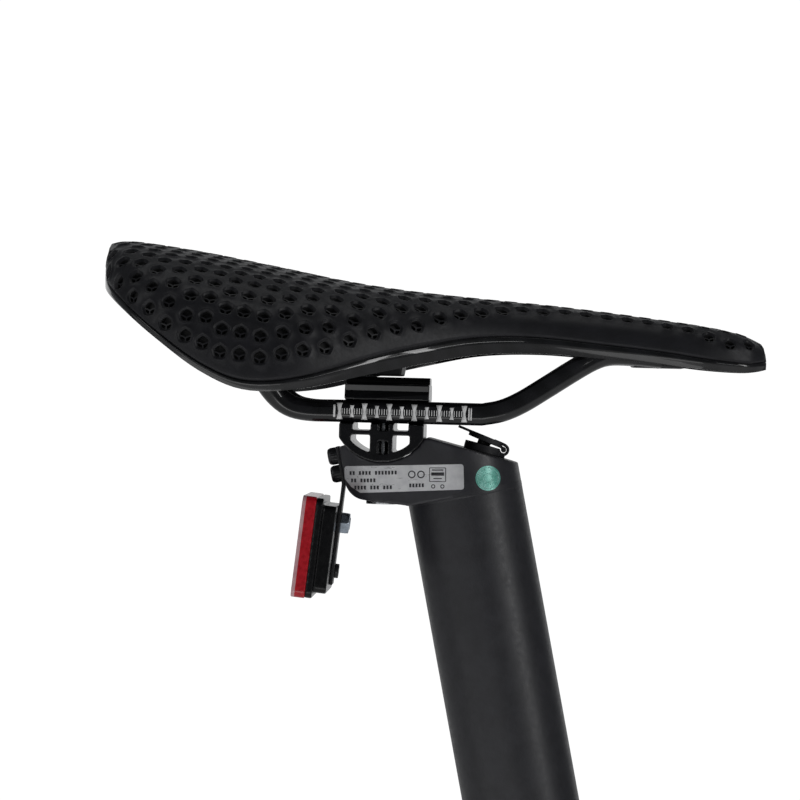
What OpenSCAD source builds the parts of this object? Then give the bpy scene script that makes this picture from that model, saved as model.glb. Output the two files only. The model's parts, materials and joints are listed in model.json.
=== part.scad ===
// Battery seatpost with a one-bolt rail clamp, a rail saddle and a rear reflector.
// Millimetres. +X points forward, -Y is the side with the label, +Z is up.
// The origin is the centre of the tube's lower end, and the tube leans back as it does in use.

/* [Post] */
// Length of the post along its axis, up to the head's reference point
post_len = 540; // [530:1:600]
// Outside diameter of the tube
tube_d = 47; // [46:0.5:50]
// Wall thickness of the tube
tube_wall = 2; // [1.6:0.1:2]
// Backward lean of the post in use, in degrees
lean = 10.3; // [8:0.1:13]

/* [Head] */
// Slope of the head's flat top, in degrees below the horizontal
top_slope = 15.6; // [14:0.1:17]
// Height of the head's collar below the reference point
collar_drop = 14.3; // [13:0.1:15]
// Distance from the tube's axis to the lug's rear face
lug_reach = 46.9; // [46:0.1:48]
// Radius of the lug's rounded end, seen from above
lug_r = 20; // [19:0.1:21]
// Length of the spigot inside the tube
spigot_len = 18; // [12:1:18]

/* [Clamp] */
// Radius of the cradle's arc bottom
cradle_r = 20; // [20:0.1:20.1]
// Tilt of the clamp from level, nose down, in degrees
clamp_tilt = 1.5; // [0:0.1:3]
// Half length of the cradle along the rails
cradle_half = 17; // [16:0.1:17]
// Half width of the cradle across the rails
cradle_w = 27; // [26:0.5:28]
// Diameter of the clamp bolt
bolt_d = 8; // [7:1:8]
// Largest tilt of the clamp each way, in degrees
tilt_range = 6; // [4:1:6]

/* [Rails] */
// Distance between the rails' axes
rail_gauge = 44; // [43:0.5:45]
// Width of the oval rail
rail_w = 7; // [7:0.1:7.2]
// Height of the oval rail
rail_h = 9; // [8.6:0.1:9]

/* [Saddle] */
// Thickness of the padding on top of the shell
pad_t = 10; // [8:0.5:11]
// Thickness of the shell
shell_t = 2; // [1.8:0.1:2.4]
// Greatest height of the shell's rim that shows below the padding
rim_h = 5.5; // [4:0.5:6]

/* [Reflector] */
// Width of the reflector
refl_w = 58; // [50:1:70]
// Height of the reflector's lens
refl_h = 41; // [38:1:42]
// Lean of the reflector, bottom backward, in degrees
refl_tilt = 7.3; // [5:0.1:8]

/* [Battery] */
// Diameter of one cell
cell_d = 18.4; // [18:0.1:18.4]
// Length of one cell
cell_len = 65; // [64:0.5:65]
// Layers of three cells
layers = 7; // [5:1:7]

/* [Hidden] */
$fn = 64;
eps = 0.01;

tube_r = tube_d / 2;
bore_r = tube_r - tube_wall;
fit = 0.05;
run_gap = 0.15;
// Turned-down seam at the tube's top, below the head.
seam_h = 0.8;
seam_deep = 0.5;

// The head's reference point: the post's axis at its top.
head_x = -post_len * sin(lean);
head_z = post_len * cos(lean);

// The clamp's tilt axis, measured from the reference point.
pivot_x = -30.5;
pivot_z = 19.7;
// The same axis along and across the post: s is forward of the post's axis, t is up along it.
pivot_s = pivot_x * cos(lean) + pivot_z * sin(lean);
pivot_t = -pivot_x * sin(lean) + pivot_z * cos(lean);
seat_r = cradle_r + run_gap;

// Plan of the head: the tube's circle and the lug's circle, joined by their common tangents.
lug_c = -lug_reach - 1.5 + lug_r;
plan_angle = asin((tube_r - lug_r) / -lug_c);

// Side of the lug, along and across the post.
corner_r = 9;
lug_base_angle = 17.2;
lug_base_end = [-23.6, -14];
corner_s = -lug_reach + corner_r - 0.1;
corner_t = lug_base_end[1]
    + (corner_r - (corner_s - lug_base_end[0]) * sin(lug_base_angle)) / cos(lug_base_angle);
top_peak = [-10.3, 11.27];
wall_top = 3.2;

// Clamp hardware, measured from the tilt axis with the rails level.
washer_seat_r = 27;
washer_low = -29.6;
head_d = 12.8;
head_h = 8;
bolt_top = 11;
barrel_r = 5.5;
barrel_z = 7.4;
clamp_rear = -15.1;
clamp_front = 18.8;
clamp_top = 14.1;
rail_low = -rail_h / 2 - 0.4;
half_gap = 0.8;
groove_gap = 0.2;

// Charge port on the slanted top, measured from the reference point.
port_x = 9.2;
port_z = 3.3;
port_r = 7.6;
lid_hinge_x = 8.4;
lid_hinge_z = 3.3;
lid_open = 7;

// Reflector strip: the bend, measured from the reference point.
bend_x = -46.75;
bend_z = -9;
strip_t = 1.4;
strip_w = 12;
strip_drop = 42;
refl_mid = -27;
nut_z = -16.5;
nut_r = 4.75;
rivet_z = -36.3;
screw_t = [3.4, 10.7];
screw_head_r = 3.5;
screw_head_h = 4;
screw_edge = 0.9;

// Battery stack, along the post.
stack_low = 22;
layer_pitch = cell_len + 1.4;
cell_ring = (cell_d / 2 + 0.1) * 2 / sqrt(3);
stack_top = stack_low + layers * layer_pitch;
cap_len = 14;
board_low = stack_top + 1.2;
board_len = 33;

// Seal and connector of the lower end.
seal_mid = 10.5;
seal_r = 20.4;
conn_r = 8;

// ---------- frames ----------

module on_post() { rotate([0, -lean, 0]) children(); }

module on_head() { translate([head_x, 0, head_z]) children(); }

module on_head_axis() { on_head() rotate([0, -lean, 0]) children(); }

module on_clamp() { on_head() translate([pivot_x, 0, pivot_z]) rotate([0, clamp_tilt, 0]) children(); }

module on_port() { on_head() translate([port_x, 0, port_z]) rotate([0, top_slope, 0]) children(); }

module on_reflector() { on_head() translate([bend_x, 0, bend_z]) rotate([0, refl_tilt, 0]) children(); }

// Extrudes an outline drawn in X and Z to both sides of the centre plane.
module slab(half) { rotate([90, 0, 0]) linear_extrude(2 * half, center = true) children(); }

module ring(outer, inner, h) {
    difference() {
        cylinder(r = outer, h = h);
        translate([0, 0, -1]) cylinder(r = inner, h = h + 2);
    }
}

// ---------- post ----------

module post_tube() {
    color("#1c1c1e") on_post() difference() {
        cylinder(r = tube_r, h = post_len - collar_drop, $fn = 96);
        translate([0, 0, -1]) cylinder(r = bore_r, h = post_len, $fn = 96);
        cap_screw_holes(1.65);
        translate([0, 0, post_len - collar_drop - seam_h])
            ring(tube_r + 1, tube_r - seam_deep, seam_h + 1, $fn = 96);
    }
}

module cap_screw_holes(r) {
    for (side = [-1, 1])
        translate([0, side * (tube_r - 6), 5])
            rotate([side * -90, 0, 0])
                cylinder(r = r, h = 8, $fn = 24);
}

// ---------- head ----------

// Points of an arc about [x, y].
function arc(x, y, r, from, to, steps) =
    [for (i = [0:steps]) let (a = from + (to - from) * i / steps) [x + r * cos(a), y + r * sin(a)]];

// Plan outline of the head, grown by g.
module head_plan(g = 0) {
    ra = tube_r + g;
    rb = lug_r + g;
    side = 90 + plan_angle;
    flat = acos((-lug_reach - g - lug_c) / rb);
    polygon(concat(
        arc(0, 0, ra, -side, side, 60),
        arc(lug_c, 0, rb, side, flat, 14),
        arc(lug_c, 0, rb, 360 - flat, 360 - side, 14)));
}

// Height of the head's flat top at s along the post's forward axis.
function top_at(s) = top_peak[1] - (s - top_peak[0]) * tan(top_slope + lean);

// Side outline of the head along and across the post.
module head_side() {
    front = tube_r + 2;
    back = -lug_reach - 2;
    polygon(concat(
        [[back, corner_t], [back, 13.8], [-42, 14.8], [-42, top_peak[1]], top_peak],
        [[front, top_at(front)], [front, -collar_drop - 2], [-22, -collar_drop - 2], lug_base_end],
        arc(corner_s, corner_t, corner_r, 270 - lug_base_angle, 180, 10)));
}

// Cylinder across the head about the clamp's tilt axis.
module about_pivot(r) {
    translate([pivot_s, 0, pivot_t]) rotate([90, 0, 0]) cylinder(r = r, h = 80, center = true, $fn = 128);
}

// Room inside the head for the socket and the board.
module head_cavity() {
    on_head_axis() difference() {
        intersection() {
            translate([0, 0, -60]) cylinder(r = 19, h = 90, $fn = 96);
            slab(30) polygon([
                [-30, -70],
                [30, -70],
                [30, top_at(30) - wall_top],
                [-30, top_at(-30) - wall_top]]);
        }
        about_pivot(seat_r + 4.4);
    }
}

// Outline that widens downward from the tilt axis, between two heights.
module tilt_wedge(half, high, low) {
    grow = tan(tilt_range);
    polygon([
        [-half - high * grow, -high],
        [half + high * grow, -high],
        [half + low * grow, -low],
        [-half - low * grow, -low]]);
}

// Slot for the bolt and pocket for its head, wide enough for the tilt.
module bolt_pocket() {
    slot_half = bolt_d / 2 + 0.3;
    pocket_half = head_d / 2 + 0.5;
    on_clamp() {
        slab(slot_half) tilt_wedge(slot_half, 15, 30);
        difference() {
            slab(pocket_half) tilt_wedge(pocket_half, 24, 46);
            rotate([90, 0, 0]) cylinder(r = washer_seat_r, h = 60, center = true, $fn = 128);
        }
    }
}

module head_casting() {
    color("#202022") difference() {
        on_head_axis() {
            intersection() {
                translate([0, 0, -collar_drop]) linear_extrude(40) head_plan();
                slab(30) head_side();
            }
            translate([0, 0, -collar_drop - spigot_len])
                cylinder(r = bore_r - fit, h = spigot_len + 0.5, $fn = 96);
        }
        on_head_axis() about_pivot(seat_r);
        head_cavity();
        bolt_pocket();
        on_port() translate([0, 0, -8]) cylinder(r = 4.1, h = 12);
        bracket_screw_axes() rotate([0, 90, 0]) cylinder(r = 1.95, h = 6, $fn = 24);
    }
}

// Thin label on the lug's near side, wrapped round its rear corner.
module rating_label() {
    color("#b9bcc0") on_head() intersection() {
        rotate([0, -lean, 0]) translate([0, 0, -30]) linear_extrude(50) difference() {
            head_plan(0.2);
            head_plan(0);
        }
        translate([0, -30, 0])
            slab(22.4)
                polygon([[-46.4, -2.2], [2.2, -1.2], [2.4, -11.4], [-46.4, -13.2]]);
        rotate([0, -lean, 0]) slab(40) head_side();
    }
}

module inspection_sticker() {
    sticker_x = 12;
    sticker_z = -6.9;
    color("#3fbf9a") on_head() intersection() {
        rotate([0, -lean, 0]) translate([0, 0, -collar_drop]) ring(tube_r + 0.2, tube_r, 20, $fn = 96);
        translate([sticker_x, -10, sticker_z]) rotate([90, 0, 0]) cylinder(r = 5, h = 20);
    }
}

// ---------- clamp ----------

module rail_outline(g = 0) {
    straight = (rail_h - rail_w) / 2;
    for (z = [-straight, straight]) translate([0, z]) circle(r = rail_w / 2 + g, $fn = 32);
    square([rail_w + 2 * g, 2 * straight], center = true);
}

// Grooves of both rails, along the clamp.
module rail_grooves() {
    for (side = [-1, 1])
        translate([-40, side * rail_gauge / 2, 0])
            rotate([90, 0, 90])
                linear_extrude(80)
                    rail_outline(groove_gap);
}

// Openings through the cradle, seen from the side.
module cradle_windows() {
    upper_low = -7.5;
    rib_low = -9.3;
    arc_in = cradle_r - 3.1;
    translate([-11.5, upper_low]) square([7.1, 3.2]);
    translate([4.8, upper_low]) square([6, 3.2]);
    intersection() {
        circle(r = arc_in, $fn = 96);
        union() {
            translate([-12.2, -20]) square([7.7, 20 + rib_low]);
            translate([4.6, -20]) square([6.8, 20 + rib_low]);
        }
    }
}

// Gap between the two webs of the cradle's middle, where the bolt shows.
module web_gap() {
    translate([-1.2, -7.5]) square([4, 3.2]);
    intersection() {
        circle(r = cradle_r - 3.1, $fn = 96);
        translate([-1.2, -20]) square([4, 20 - 11.7]);
    }
}

module lower_cradle() {
    color("#232325") on_clamp() difference() {
        slab(cradle_w) intersection() {
            circle(r = cradle_r, $fn = 128);
            translate([-cradle_half, -cradle_r]) square([2 * cradle_half, cradle_r - half_gap]);
        }
        for (side = [-1, 1])
            translate([0, side * (rail_gauge / 2 + 10), 0])
                cube([50, 20, -2 * rail_low], center = true);
        rail_grooves();
        slab(40) cradle_windows();
        slab(40) web_gap();
        translate([0, 0, -30]) cylinder(r = bolt_d / 2 + 0.2, h = 40);
    }
}

module upper_clamp() {
    shoulder_r = 7;
    shoulder_y = 20.5;
    length = clamp_front - clamp_rear;
    color("#232325") on_clamp() difference() {
        translate([clamp_rear, 0, 0]) rotate([90, 0, 90]) linear_extrude(length) {
            for (side = [-1, 1]) {
                translate([side * shoulder_y, 4.4]) circle(r = shoulder_r);
                translate([side * 11, clamp_top - 3]) circle(r = 3);
            }
            translate([-11, half_gap]) square([22, clamp_top - half_gap]);
            translate([-14, half_gap]) square([28, clamp_top - 3 - half_gap]);
            translate([-shoulder_y, half_gap]) square([2 * shoulder_y, 4.4 + shoulder_r - half_gap]);
        }
        translate([-50, -50, -50 + half_gap]) cube([100, 100, 50]);
        for (side = [-1, 1])
            translate([0, side * (rail_gauge / 2 + 10), 0])
                cube([100, 20, -2 * rail_low], center = true);
        rail_grooves();
        translate([0, 0, barrel_z]) rotate([90, 0, 0]) cylinder(r = barrel_r + fit, h = 27, center = true);
        translate([-barrel_r - fit, -13.5, -1]) cube([2 * (barrel_r + fit), 27, barrel_z + 1]);
    }
}

module clamp_bolt() {
    color("#c9ccd0") on_clamp() difference() {
        union() {
            translate([0, 0, washer_low - head_h]) cylinder(r = head_d / 2, h = head_h);
            translate([0, 0, washer_low - eps]) cylinder(r = bolt_d / 2, h = bolt_top - washer_low);
        }
        translate([0, 0, washer_low - head_h - 1]) cylinder(r = 3.46, h = 5.5, $fn = 6);
    }
}

module clamp_washer() {
    color("#b4b7bb") on_clamp() difference() {
        translate([-6.4, -6.4, washer_low]) cube([12.8, 12.8, 4]);
        rotate([90, 0, 0]) cylinder(r = washer_seat_r + run_gap, h = 30, center = true, $fn = 128);
        translate([0, 0, -35]) cylinder(r = bolt_d / 2 + 0.2, h = 20);
    }
}

module clamp_nut() {
    color("#9a9da1") on_clamp() difference() {
        translate([0, 0, barrel_z]) rotate([90, 0, 0]) cylinder(r = barrel_r, h = 26, center = true);
        translate([0, 0, -5]) cylinder(r = bolt_d / 2 + fit, h = 40);
    }
}

// ---------- saddle ----------

// Smooth curve through a list of points, u from 0 at the first to 1 at the last.
function spline(p, u) =
    let (n = len(p) - 1, k = min(floor(u * n), n - 1), f = u * n - k,
        a = p[max(k - 1, 0)], b = p[k], c = p[k + 1], d = p[min(k + 2, n)])
    b + 0.5 * f * ((c - a) + f * ((2 * a - 5 * b + 4 * c - d) + f * (3 * b - a - 3 * c + d)));

// Top line of the saddle: forward position, and height above the tilt axis.
crown = [[-112.5, 66], [-103, 66.6], [-92, 65.5], [-76, 63.3], [-58, 60.3], [-38, 56.7],
    [-18, 53], [2, 50.2], [22, 48.2], [44, 46.5], [66, 44.9], [88, 42.8], [110, 40.3],
    [128, 38], [142, 35.4], [152, 31.5]];
// Lower edge of the shell: forward position, distance from the centre plane, height.
edge = [[-114, 10, 50.5], [-111, 34, 45.5], [-102.5, 51, 38], [-88.5, 63, 27], [-70, 69.5, 14.3],
    [-52, 71.5, 7.4], [-30, 68, 8.5], [-6, 56, 14.3], [16, 42, 19.4], [38, 31.5, 23.8],
    [62, 24.5, 25], [88, 21.5, 23.6], [112, 20, 22], [132, 18.6, 20.1], [147, 14, 19.6],
    [154.5, 6, 21]];
// Height of the shell's rim below the padding, from the tail to the nose.
rim_line = [0.9, 0.6, 0.6, 0.8, 1.35, 1.3, 1.05, 0.8, 0.6];

// How flat the saddle's top is, and how steep its sides are.
side_power = 0.86;
top_power = 0.62;

// The value of v where the padding ends: v runs from 0 on the crown to 1 at the shell's edge.
function rim_v(u) =
    let (h = spline(crown, u)[1] - spline(edge, u)[2])
    acos(pow(rim_h * spline(rim_line, u) / h, 1 / top_power)) / 90;

// Depth below the outside: layer 0 is the outside, 1 the shell's top, 2 the shell's underside.
function depth(layer, h, v, rim) =
    let (under = min(pad_t, 0.36 * h) * (1 - 0.86 * pow(min(v / rim, 1), 4)))
    layer == 0 ? 0 : layer == 1 ? under : under + min(shell_t, 0.2 * h);

// One point of a layer, f from -1 to 1 across the padding and up to 2 at the edge.
function skin(u, f, layer) =
    let (k = spline(crown, u), e = spline(edge, u), h = k[1] - e[2], rim = rim_v(u),
        g = abs(f), v = g <= 1 ? g * rim : rim + (g - 1) * (1 - rim),
        d = depth(layer, h, v, rim), out = pow(sin(90 * v), side_power),
        up = pow(max(cos(90 * v), 0), top_power))
    [k[0] + (e[0] - k[0]) * out, sign(f) * (e[1] - 0.8 * d) * out, e[2] + (h - d) * up];

stations = 30;
pad_steps = 7;
pad_f = [for (i = [-pad_steps:pad_steps]) i / pad_steps];
shell_f = concat([-2], pad_f, [2]);

// Closed solid between two grids of points, n to a row. A turned top has its quads split the other
// way, so that it lies exactly on the underside of the solid above it.
module grid_solid(upper, lower, n, turned = false) {
    far = len(upper);
    rows = far / n;
    cells = [for (i = [0:rows - 2]) for (j = [0:n - 2]) i * n + j];
    top = [for (a = cells) turned ? [a + 1, a + n + 1, a + n, a] : [a, a + 1, a + n + 1, a + n]];
    bottom = [for (a = cells) [a + n + far, a + n + 1 + far, a + 1 + far, a + far]];
    sides = [for (i = [0:rows - 2]) for (j = [0, n - 1]) let (a = i * n + j,
        q = [a, a + n, a + n + far, a + far]) j == 0 ? q : [q[3], q[2], q[1], q[0]]];
    ends = [for (j = [0:n - 2]) for (i = [0, rows - 1]) let (a = i * n + j,
        q = [a, a + far, a + far + 1, a + 1]) i == 0 ? q : [q[3], q[2], q[1], q[0]]];
    triangles = [for (q = concat(top, bottom, sides, ends)) for (half = [0, 1])
        half == 0 ? [q[0], q[1], q[2]] : [q[0], q[2], q[3]]];
    polyhedron(concat(upper, lower), triangles, convexity = 6);
}

function skin_grid(fs, layer) = [for (i = [0:stations]) for (f = fs) skin(i / stations, f, layer)];

module saddle_pad() {
    color("#2b2c2e") on_clamp() grid_solid(skin_grid(pad_f, 0), skin_grid(pad_f, 1), len(pad_f));
}

module saddle_shell() {
    color("#111113") on_clamp()
        grid_solid(skin_grid(shell_f, 1), skin_grid(shell_f, 2), len(shell_f), turned = true);
}

// Block under part of the shell: from station i0 to i1 and from step j0 to j1 across,
// narrowed towards its foot at the height low.
module shell_block(i0, i1, j0, j1, low, narrow) {
    n = j1 - j0 + 1;
    upper = [for (i = [i0:i1]) for (j = [j0:j1]) skin(i / stations, j / pad_steps, 2)];
    mid = (upper[0] + upper[len(upper) - 1]) / 2;
    lower = [for (p = upper)
        [mid[0] + (p[0] - mid[0]) * narrow, mid[1] + (p[1] - mid[1]) * narrow, low]];
    grid_solid(upper, lower, n, turned = true);
}

// Middle line of a rail: forward position, distance from the centre plane, height.
rail_path = [[-67, 38, 42], [-61, 34.5, 32], [-55.5, 31, 23.6], [-49.5, 27, 14.5], [-43.5, 23.6, 6.4],
    [-37.5, 22.2, 1.8], [-30, 22, 0.1], [-20, 22, 0], [40, 22, 0], [48, 21.8, 1.7], [56, 21, 5.4],
    [66, 19.4, 11.8],
    [76, 17.6, 18.4], [84, 15.8, 23.2], [91, 14.4, 25.6], [100, 13, 25.8], [112, 12.4, 25]];

// Tube of the rail's oval section along the path, mirrored for the left side.
module rail(side) {
    sides = 16;
    n = len(rail_path);
    straight = (rail_h - rail_w) / 2;
    function along(i) =
        let (d = rail_path[min(i + 1, n - 1)] - rail_path[max(i - 1, 0)]) d / norm(d);
    points = [for (i = [0:n - 1]) for (k = [0:sides - 1])
        let (t = along(i), across = [-t[1], t[0], 0] / norm([t[0], t[1]]),
            up = cross(t, across), a = 360 * (k + 0.5) / sides,
            p = rail_path[i] + across * (rail_w / 2 * cos(a))
                + up * (rail_w / 2 * sin(a) + (sin(a) > 0 ? straight : -straight)))
        [p[0], side * p[1], p[2]]];
    rings = [for (i = [0:n - 2]) for (k = [0:sides - 1]) for (half = [0, 1])
        let (a = i * sides + k, b = i * sides + (k + 1) % sides,
            t = half == 0 ? [a, b, b + sides] : [a, b + sides, a + sides])
        side > 0 ? t : [t[0], t[2], t[1]]];
    first = [for (k = [0:sides - 1]) k];
    last = [for (k = [0:sides - 1]) (n - 1) * sides + k];
    flip = [for (k = [sides - 1:-1:0]) k];
    turned = [for (k = flip) (n - 1) * sides + k];
    polyhedron(points, concat(rings, side > 0 ? [flip, last] : [first, turned]), convexity = 4);
}

module rail_left() { color("#151517") on_clamp() rail(1); }

module rail_right() { color("#151517") on_clamp() rail(-1); }

// Lower faces of the sockets moulded round the rails' ends.
nose_socket_low = 20.6;
tail_socket_low = 36;

// Sockets moulded round the rails' ends, and the keel over the clamp, all fitted to the shell.
module shell_bosses() {
    color("#111113") on_clamp() {
        shell_block(12, 15, -1, 1, clamp_top + 0.5, 0.78);
        shell_block(23, 25, -5, 5, nose_socket_low, 0.96);
        shell_block(6, 8, 2, 3, tail_socket_low, 0.8);
        shell_block(6, 8, -3, -2, tail_socket_low, 0.8);
    }
}

// ---------- reflector ----------

module bracket_screw_axes() {
    for (t = screw_t) on_head_axis() translate([-lug_reach - 0.8, 0, t]) children();
}

// Turns a point along the post's axis, or in the reflector's frame, into the head's X and Z.
function from_axis(s, t) = [s * cos(lean) - t * sin(lean), s * sin(lean) + t * cos(lean)];
function from_refl(x, z) =
    [bend_x + x * cos(refl_tilt) + z * sin(refl_tilt), bend_z - x * sin(refl_tilt) + z * cos(refl_tilt)];

module reflector_bracket() {
    outer = -lug_reach - strip_t;
    half = strip_t / 2;
    color("#1a1a1b") difference() {
        on_head() slab(strip_w / 2) polygon([
            from_axis(outer, 14.4),
            from_axis(-lug_reach, 14.4),
            from_axis(-lug_reach, 0.4),
            from_refl(half, -1.4),
            from_refl(half, -strip_drop),
            from_refl(-half, -strip_drop),
            from_refl(-half, -0.8),
            from_axis(outer, 0.8)]);
        bracket_screw_axes() rotate([0, 90, 0]) cylinder(r = 2.2, h = 8, center = true, $fn = 24);
        on_reflector() for (z = [nut_z, rivet_z])
            translate([0, 0, z]) rotate([0, 90, 0]) cylinder(r = 2.6, h = 8, center = true, $fn = 32);
    }
}

module bracket_screws() {
    color("#161617") bracket_screw_axes() rotate([0, 90, 0]) difference() {
        union() {
            translate([0, 0, -0.6 - screw_head_h + screw_edge])
                cylinder(r = screw_head_r, h = screw_head_h - screw_edge, $fn = 32);
            translate([0, 0, -0.6 - screw_head_h])
                cylinder(r1 = screw_head_r - 0.7, r2 = screw_head_r, h = screw_edge, $fn = 32);
            translate([0, 0, -0.7]) cylinder(r = 1.9, h = 5.6, $fn = 24);
        }
        translate([0, 0, -5]) cylinder(r = 1.73, h = 2.4, $fn = 6);
    }
}

// Rounded rectangle in Y and Z, extruded backward from x by depth.
module reflector_block(x, depth, width, z_low, z_high, r) {
    on_reflector()
        translate([x - depth, 0, 0])
            rotate([90, 0, 90])
                linear_extrude(depth) {
                    for (y = [-1, 1]) for (z = [z_low + r, z_high - r])
                        translate([y * (width / 2 - r), z]) circle(r = r, $fn = 32);
                    translate([-width / 2, z_low + r]) square([width, z_high - z_low - 2 * r]);
                    translate([-width / 2 + r, z_low]) square([width - 2 * r, z_high - z_low]);
                }
}

module reflector_housing() {
    mid = refl_mid;
    color("#1b1c1e") difference() {
        union() {
            reflector_block(-0.7, 5.4, refl_w - 8, mid - refl_h / 2 + 2.6, mid + refl_h / 2 - 3, 2.4);
            reflector_block(-6, 2.8, refl_w, mid - refl_h / 2 + 0.3, mid + refl_h / 2 - 0.3, 2.8);
        }
        on_reflector() translate([-6.5, 0, nut_z]) rotate([0, 90, 0]) cylinder(r = 2.5, h = 12, $fn = 32);
        on_reflector() translate([-4.5, 0, rivet_z]) rotate([0, 90, 0]) cylinder(r = 1.5, h = 12, $fn = 32);
    }
}

module reflector_lens() {
    mid = refl_mid;
    color("#c01822") reflector_block(-8.8, 5.7, refl_w, mid - refl_h / 2, mid + refl_h / 2, 3);
}

module reflector_stud() {
    color("#b9bdc2") on_reflector()
        translate([-6.4, 0, nut_z]) rotate([0, 90, 0]) cylinder(r = 2.45, h = 11, $fn = 32);
}

module reflector_nut() {
    color("#aab2bd") on_reflector() translate([strip_t / 2, 0, nut_z]) rotate([0, 90, 0]) difference() {
        rotate([0, 0, 30]) cylinder(r = nut_r, h = 3.6, $fn = 6);
        translate([0, 0, -1]) cylinder(r = 2.5, h = 6, $fn = 32);
    }
}

module bracket_rivet() {
    color("#1a1a1b") on_reflector() translate([0, 0, rivet_z]) rotate([0, 90, 0]) {
        translate([0, 0, -4.4]) cylinder(r = 1.45, h = 5.2, $fn = 32);
        translate([0, 0, strip_t / 2]) cylinder(r = 2.95, h = 1.7, $fn = 32);
    }
}

// ---------- charge port ----------

module charge_socket() {
    color("#131314") on_port() difference() {
        union() {
            translate([0, 0, -13.5]) cylinder(r = 5.5, h = 9.9);
            translate([0, 0, -4]) cylinder(r = 4, h = 4.9);
        }
        translate([0, 0, -9.5]) cylinder(r = 3.1, h = 12);
        translate([0, 0, -12]) cylinder(r = 1.05, h = 5);
    }
}

module socket_contacts() {
    color("#cfae58") on_port() {
        translate([0, 0, -12]) cylinder(r = 1, h = 10, $fn = 24);
        for (side = [-1, 1]) translate([side * 3 - 0.4, 2, -16]) cube([0.8, 1.6, 2.5]);
    }
}

module socket_bezel() {
    color("#c4c7cb") on_port() ring(6, 4.05, 1.2);
}

// Cuts room for the lid's rolled edge at the front of the collar.
module lid_knuckle(r, half) {
    translate([lid_hinge_x, 0, lid_hinge_z])
        rotate([90, 0, 0])
            cylinder(r = r, h = 2 * half, center = true);
}

module port_cap_base() {
    color("#1e1e1f") on_port() difference() {
        union() {
            ring(port_r, 6.1, 3.2);
            translate([6.6, -3, 0]) cube([3, 6, 2]);
        }
        lid_knuckle(1.35, 3.4);
    }
}

module port_cap_lid() {
    disc_low = 3.5;
    color("#1e1e1f") on_port()
        translate([lid_hinge_x, 0, lid_hinge_z])
        rotate([0, lid_open, 0])
        translate([-lid_hinge_x, 0, -lid_hinge_z])
        union() {
            translate([0, 0, disc_low]) cylinder(r = 7.2, h = 2.2);
            translate([0, 0, disc_low - 2.6]) cylinder(r = 2.7, h = 2.7);
            translate([5, -3, disc_low]) cube([lid_hinge_x - 5, 6, 0.9]);
            translate([-12.2, -2.6, disc_low + 1.2]) cube([6.5, 5.2, 1]);
            lid_knuckle(1.1, 3);
        }
}

// ---------- battery ----------

// Places its children at each of the three cells of a layer.
module cell_places(count) {
    for (i = [0:count - 1]) rotate([0, 0, 120 * i]) translate([cell_ring, 0, 0]) children();
}

module battery_cells() {
    color("#2f6f9f") on_post() for (k = [0:layers - 1])
        translate([0, 0, stack_low + 0.7 + k * layer_pitch])
            cell_places(k == layers - 1 ? 2 : 3)
                cylinder(r = cell_d / 2, h = cell_len, $fn = 32);
}

module cell_holders() {
    color("#d8d8d2") on_post() for (k = [0:layers])
        translate([0, 0, stack_low - 0.4 + k * layer_pitch]) cylinder(r = 19.9, h = 0.8);
}

module nickel_strips() {
    color("#b8bcc0") on_post() for (k = [0:layers - 1]) for (z = [0.4, layer_pitch - 0.7])
        translate([0, 0, stack_low + z + k * layer_pitch]) cylinder(r = 13, h = 0.3, $fn = 3);
}

module insulation_sleeve() {
    color("#2a6db0") on_post() translate([0, 0, stack_low - 1]) ring(20.6, 20, stack_top - stack_low + 2);
}

module bms_board() {
    color("#1d6b3c") on_post() translate([-15, -0.8, board_low]) cube([30, 1.6, board_len]);
}

module bms_parts() {
    color("#303236") on_post() for (k = [0:2]) {
        translate([-11, -3.4, board_low + 4 + k * 9]) cube([6, 2.6, 6]);
        translate([3, 0.8, board_low + 4 + k * 9]) cube([7, 3.2, 6]);
    }
}

module charge_lead() {
    foot = board_low + board_len - 4;
    color("#a01818") on_post() for (lead = [[-1, 11.8], [5, 14.6]])
        translate([lead[0], 2.2, foot]) cylinder(r = 1, h = post_len - lead[1] - foot, $fn = 24);
}

module output_lead() {
    color("#a01818") on_post() for (x = [-4, 4])
        translate([x, 0, 16]) cylinder(r = 1.2, h = stack_low - 0.4 - 16, $fn = 24);
}

// ---------- lower end ----------

module end_cap() {
    color("#17181a") on_post() difference() {
        cylinder(r = bore_r - fit, h = cap_len, $fn = 96);
        translate([0, 0, -1]) cylinder(r = conn_r + fit, h = cap_len + 2);
        translate([0, 0, seal_mid - 1.2]) ring(bore_r + 2, seal_r - 1.1, 2.4);
        cap_screw_holes(1.55);
    }
}

module cap_seal() {
    color("#0e0e0e") on_post()
        translate([0, 0, seal_mid])
            rotate_extrude($fn = 96)
                translate([seal_r, 0]) circle(r = 1, $fn = 24);
}

module cap_screws() {
    color("#8f9296") on_post() for (side = [-1, 1])
        translate([0, side * (tube_r - 5.8), 5]) rotate([side * -90, 0, 0]) difference() {
            cylinder(r = 1.5, h = 5.4, $fn = 24);
            translate([0, 0, 3.6]) cylinder(r = 0.87, h = 3, $fn = 6);
        }
}

module output_connector() {
    color("#101011") on_post() translate([0, 0, 0.5]) difference() {
        cylinder(r = conn_r, h = 15.5);
        translate([0, 0, -1]) cylinder(r = conn_r - 1.8, h = 10);
        for (a = [45:90:315]) rotate([0, 0, a]) translate([3, 0, 5]) cylinder(r = 0.8, h = 8, $fn = 24);
    }
}

module connector_contacts() {
    color("#cfae58") on_post() for (a = [45:90:315])
        rotate([0, 0, a]) translate([3, 0, 3]) cylinder(r = 0.78, h = 10.4, $fn = 24);
}

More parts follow.
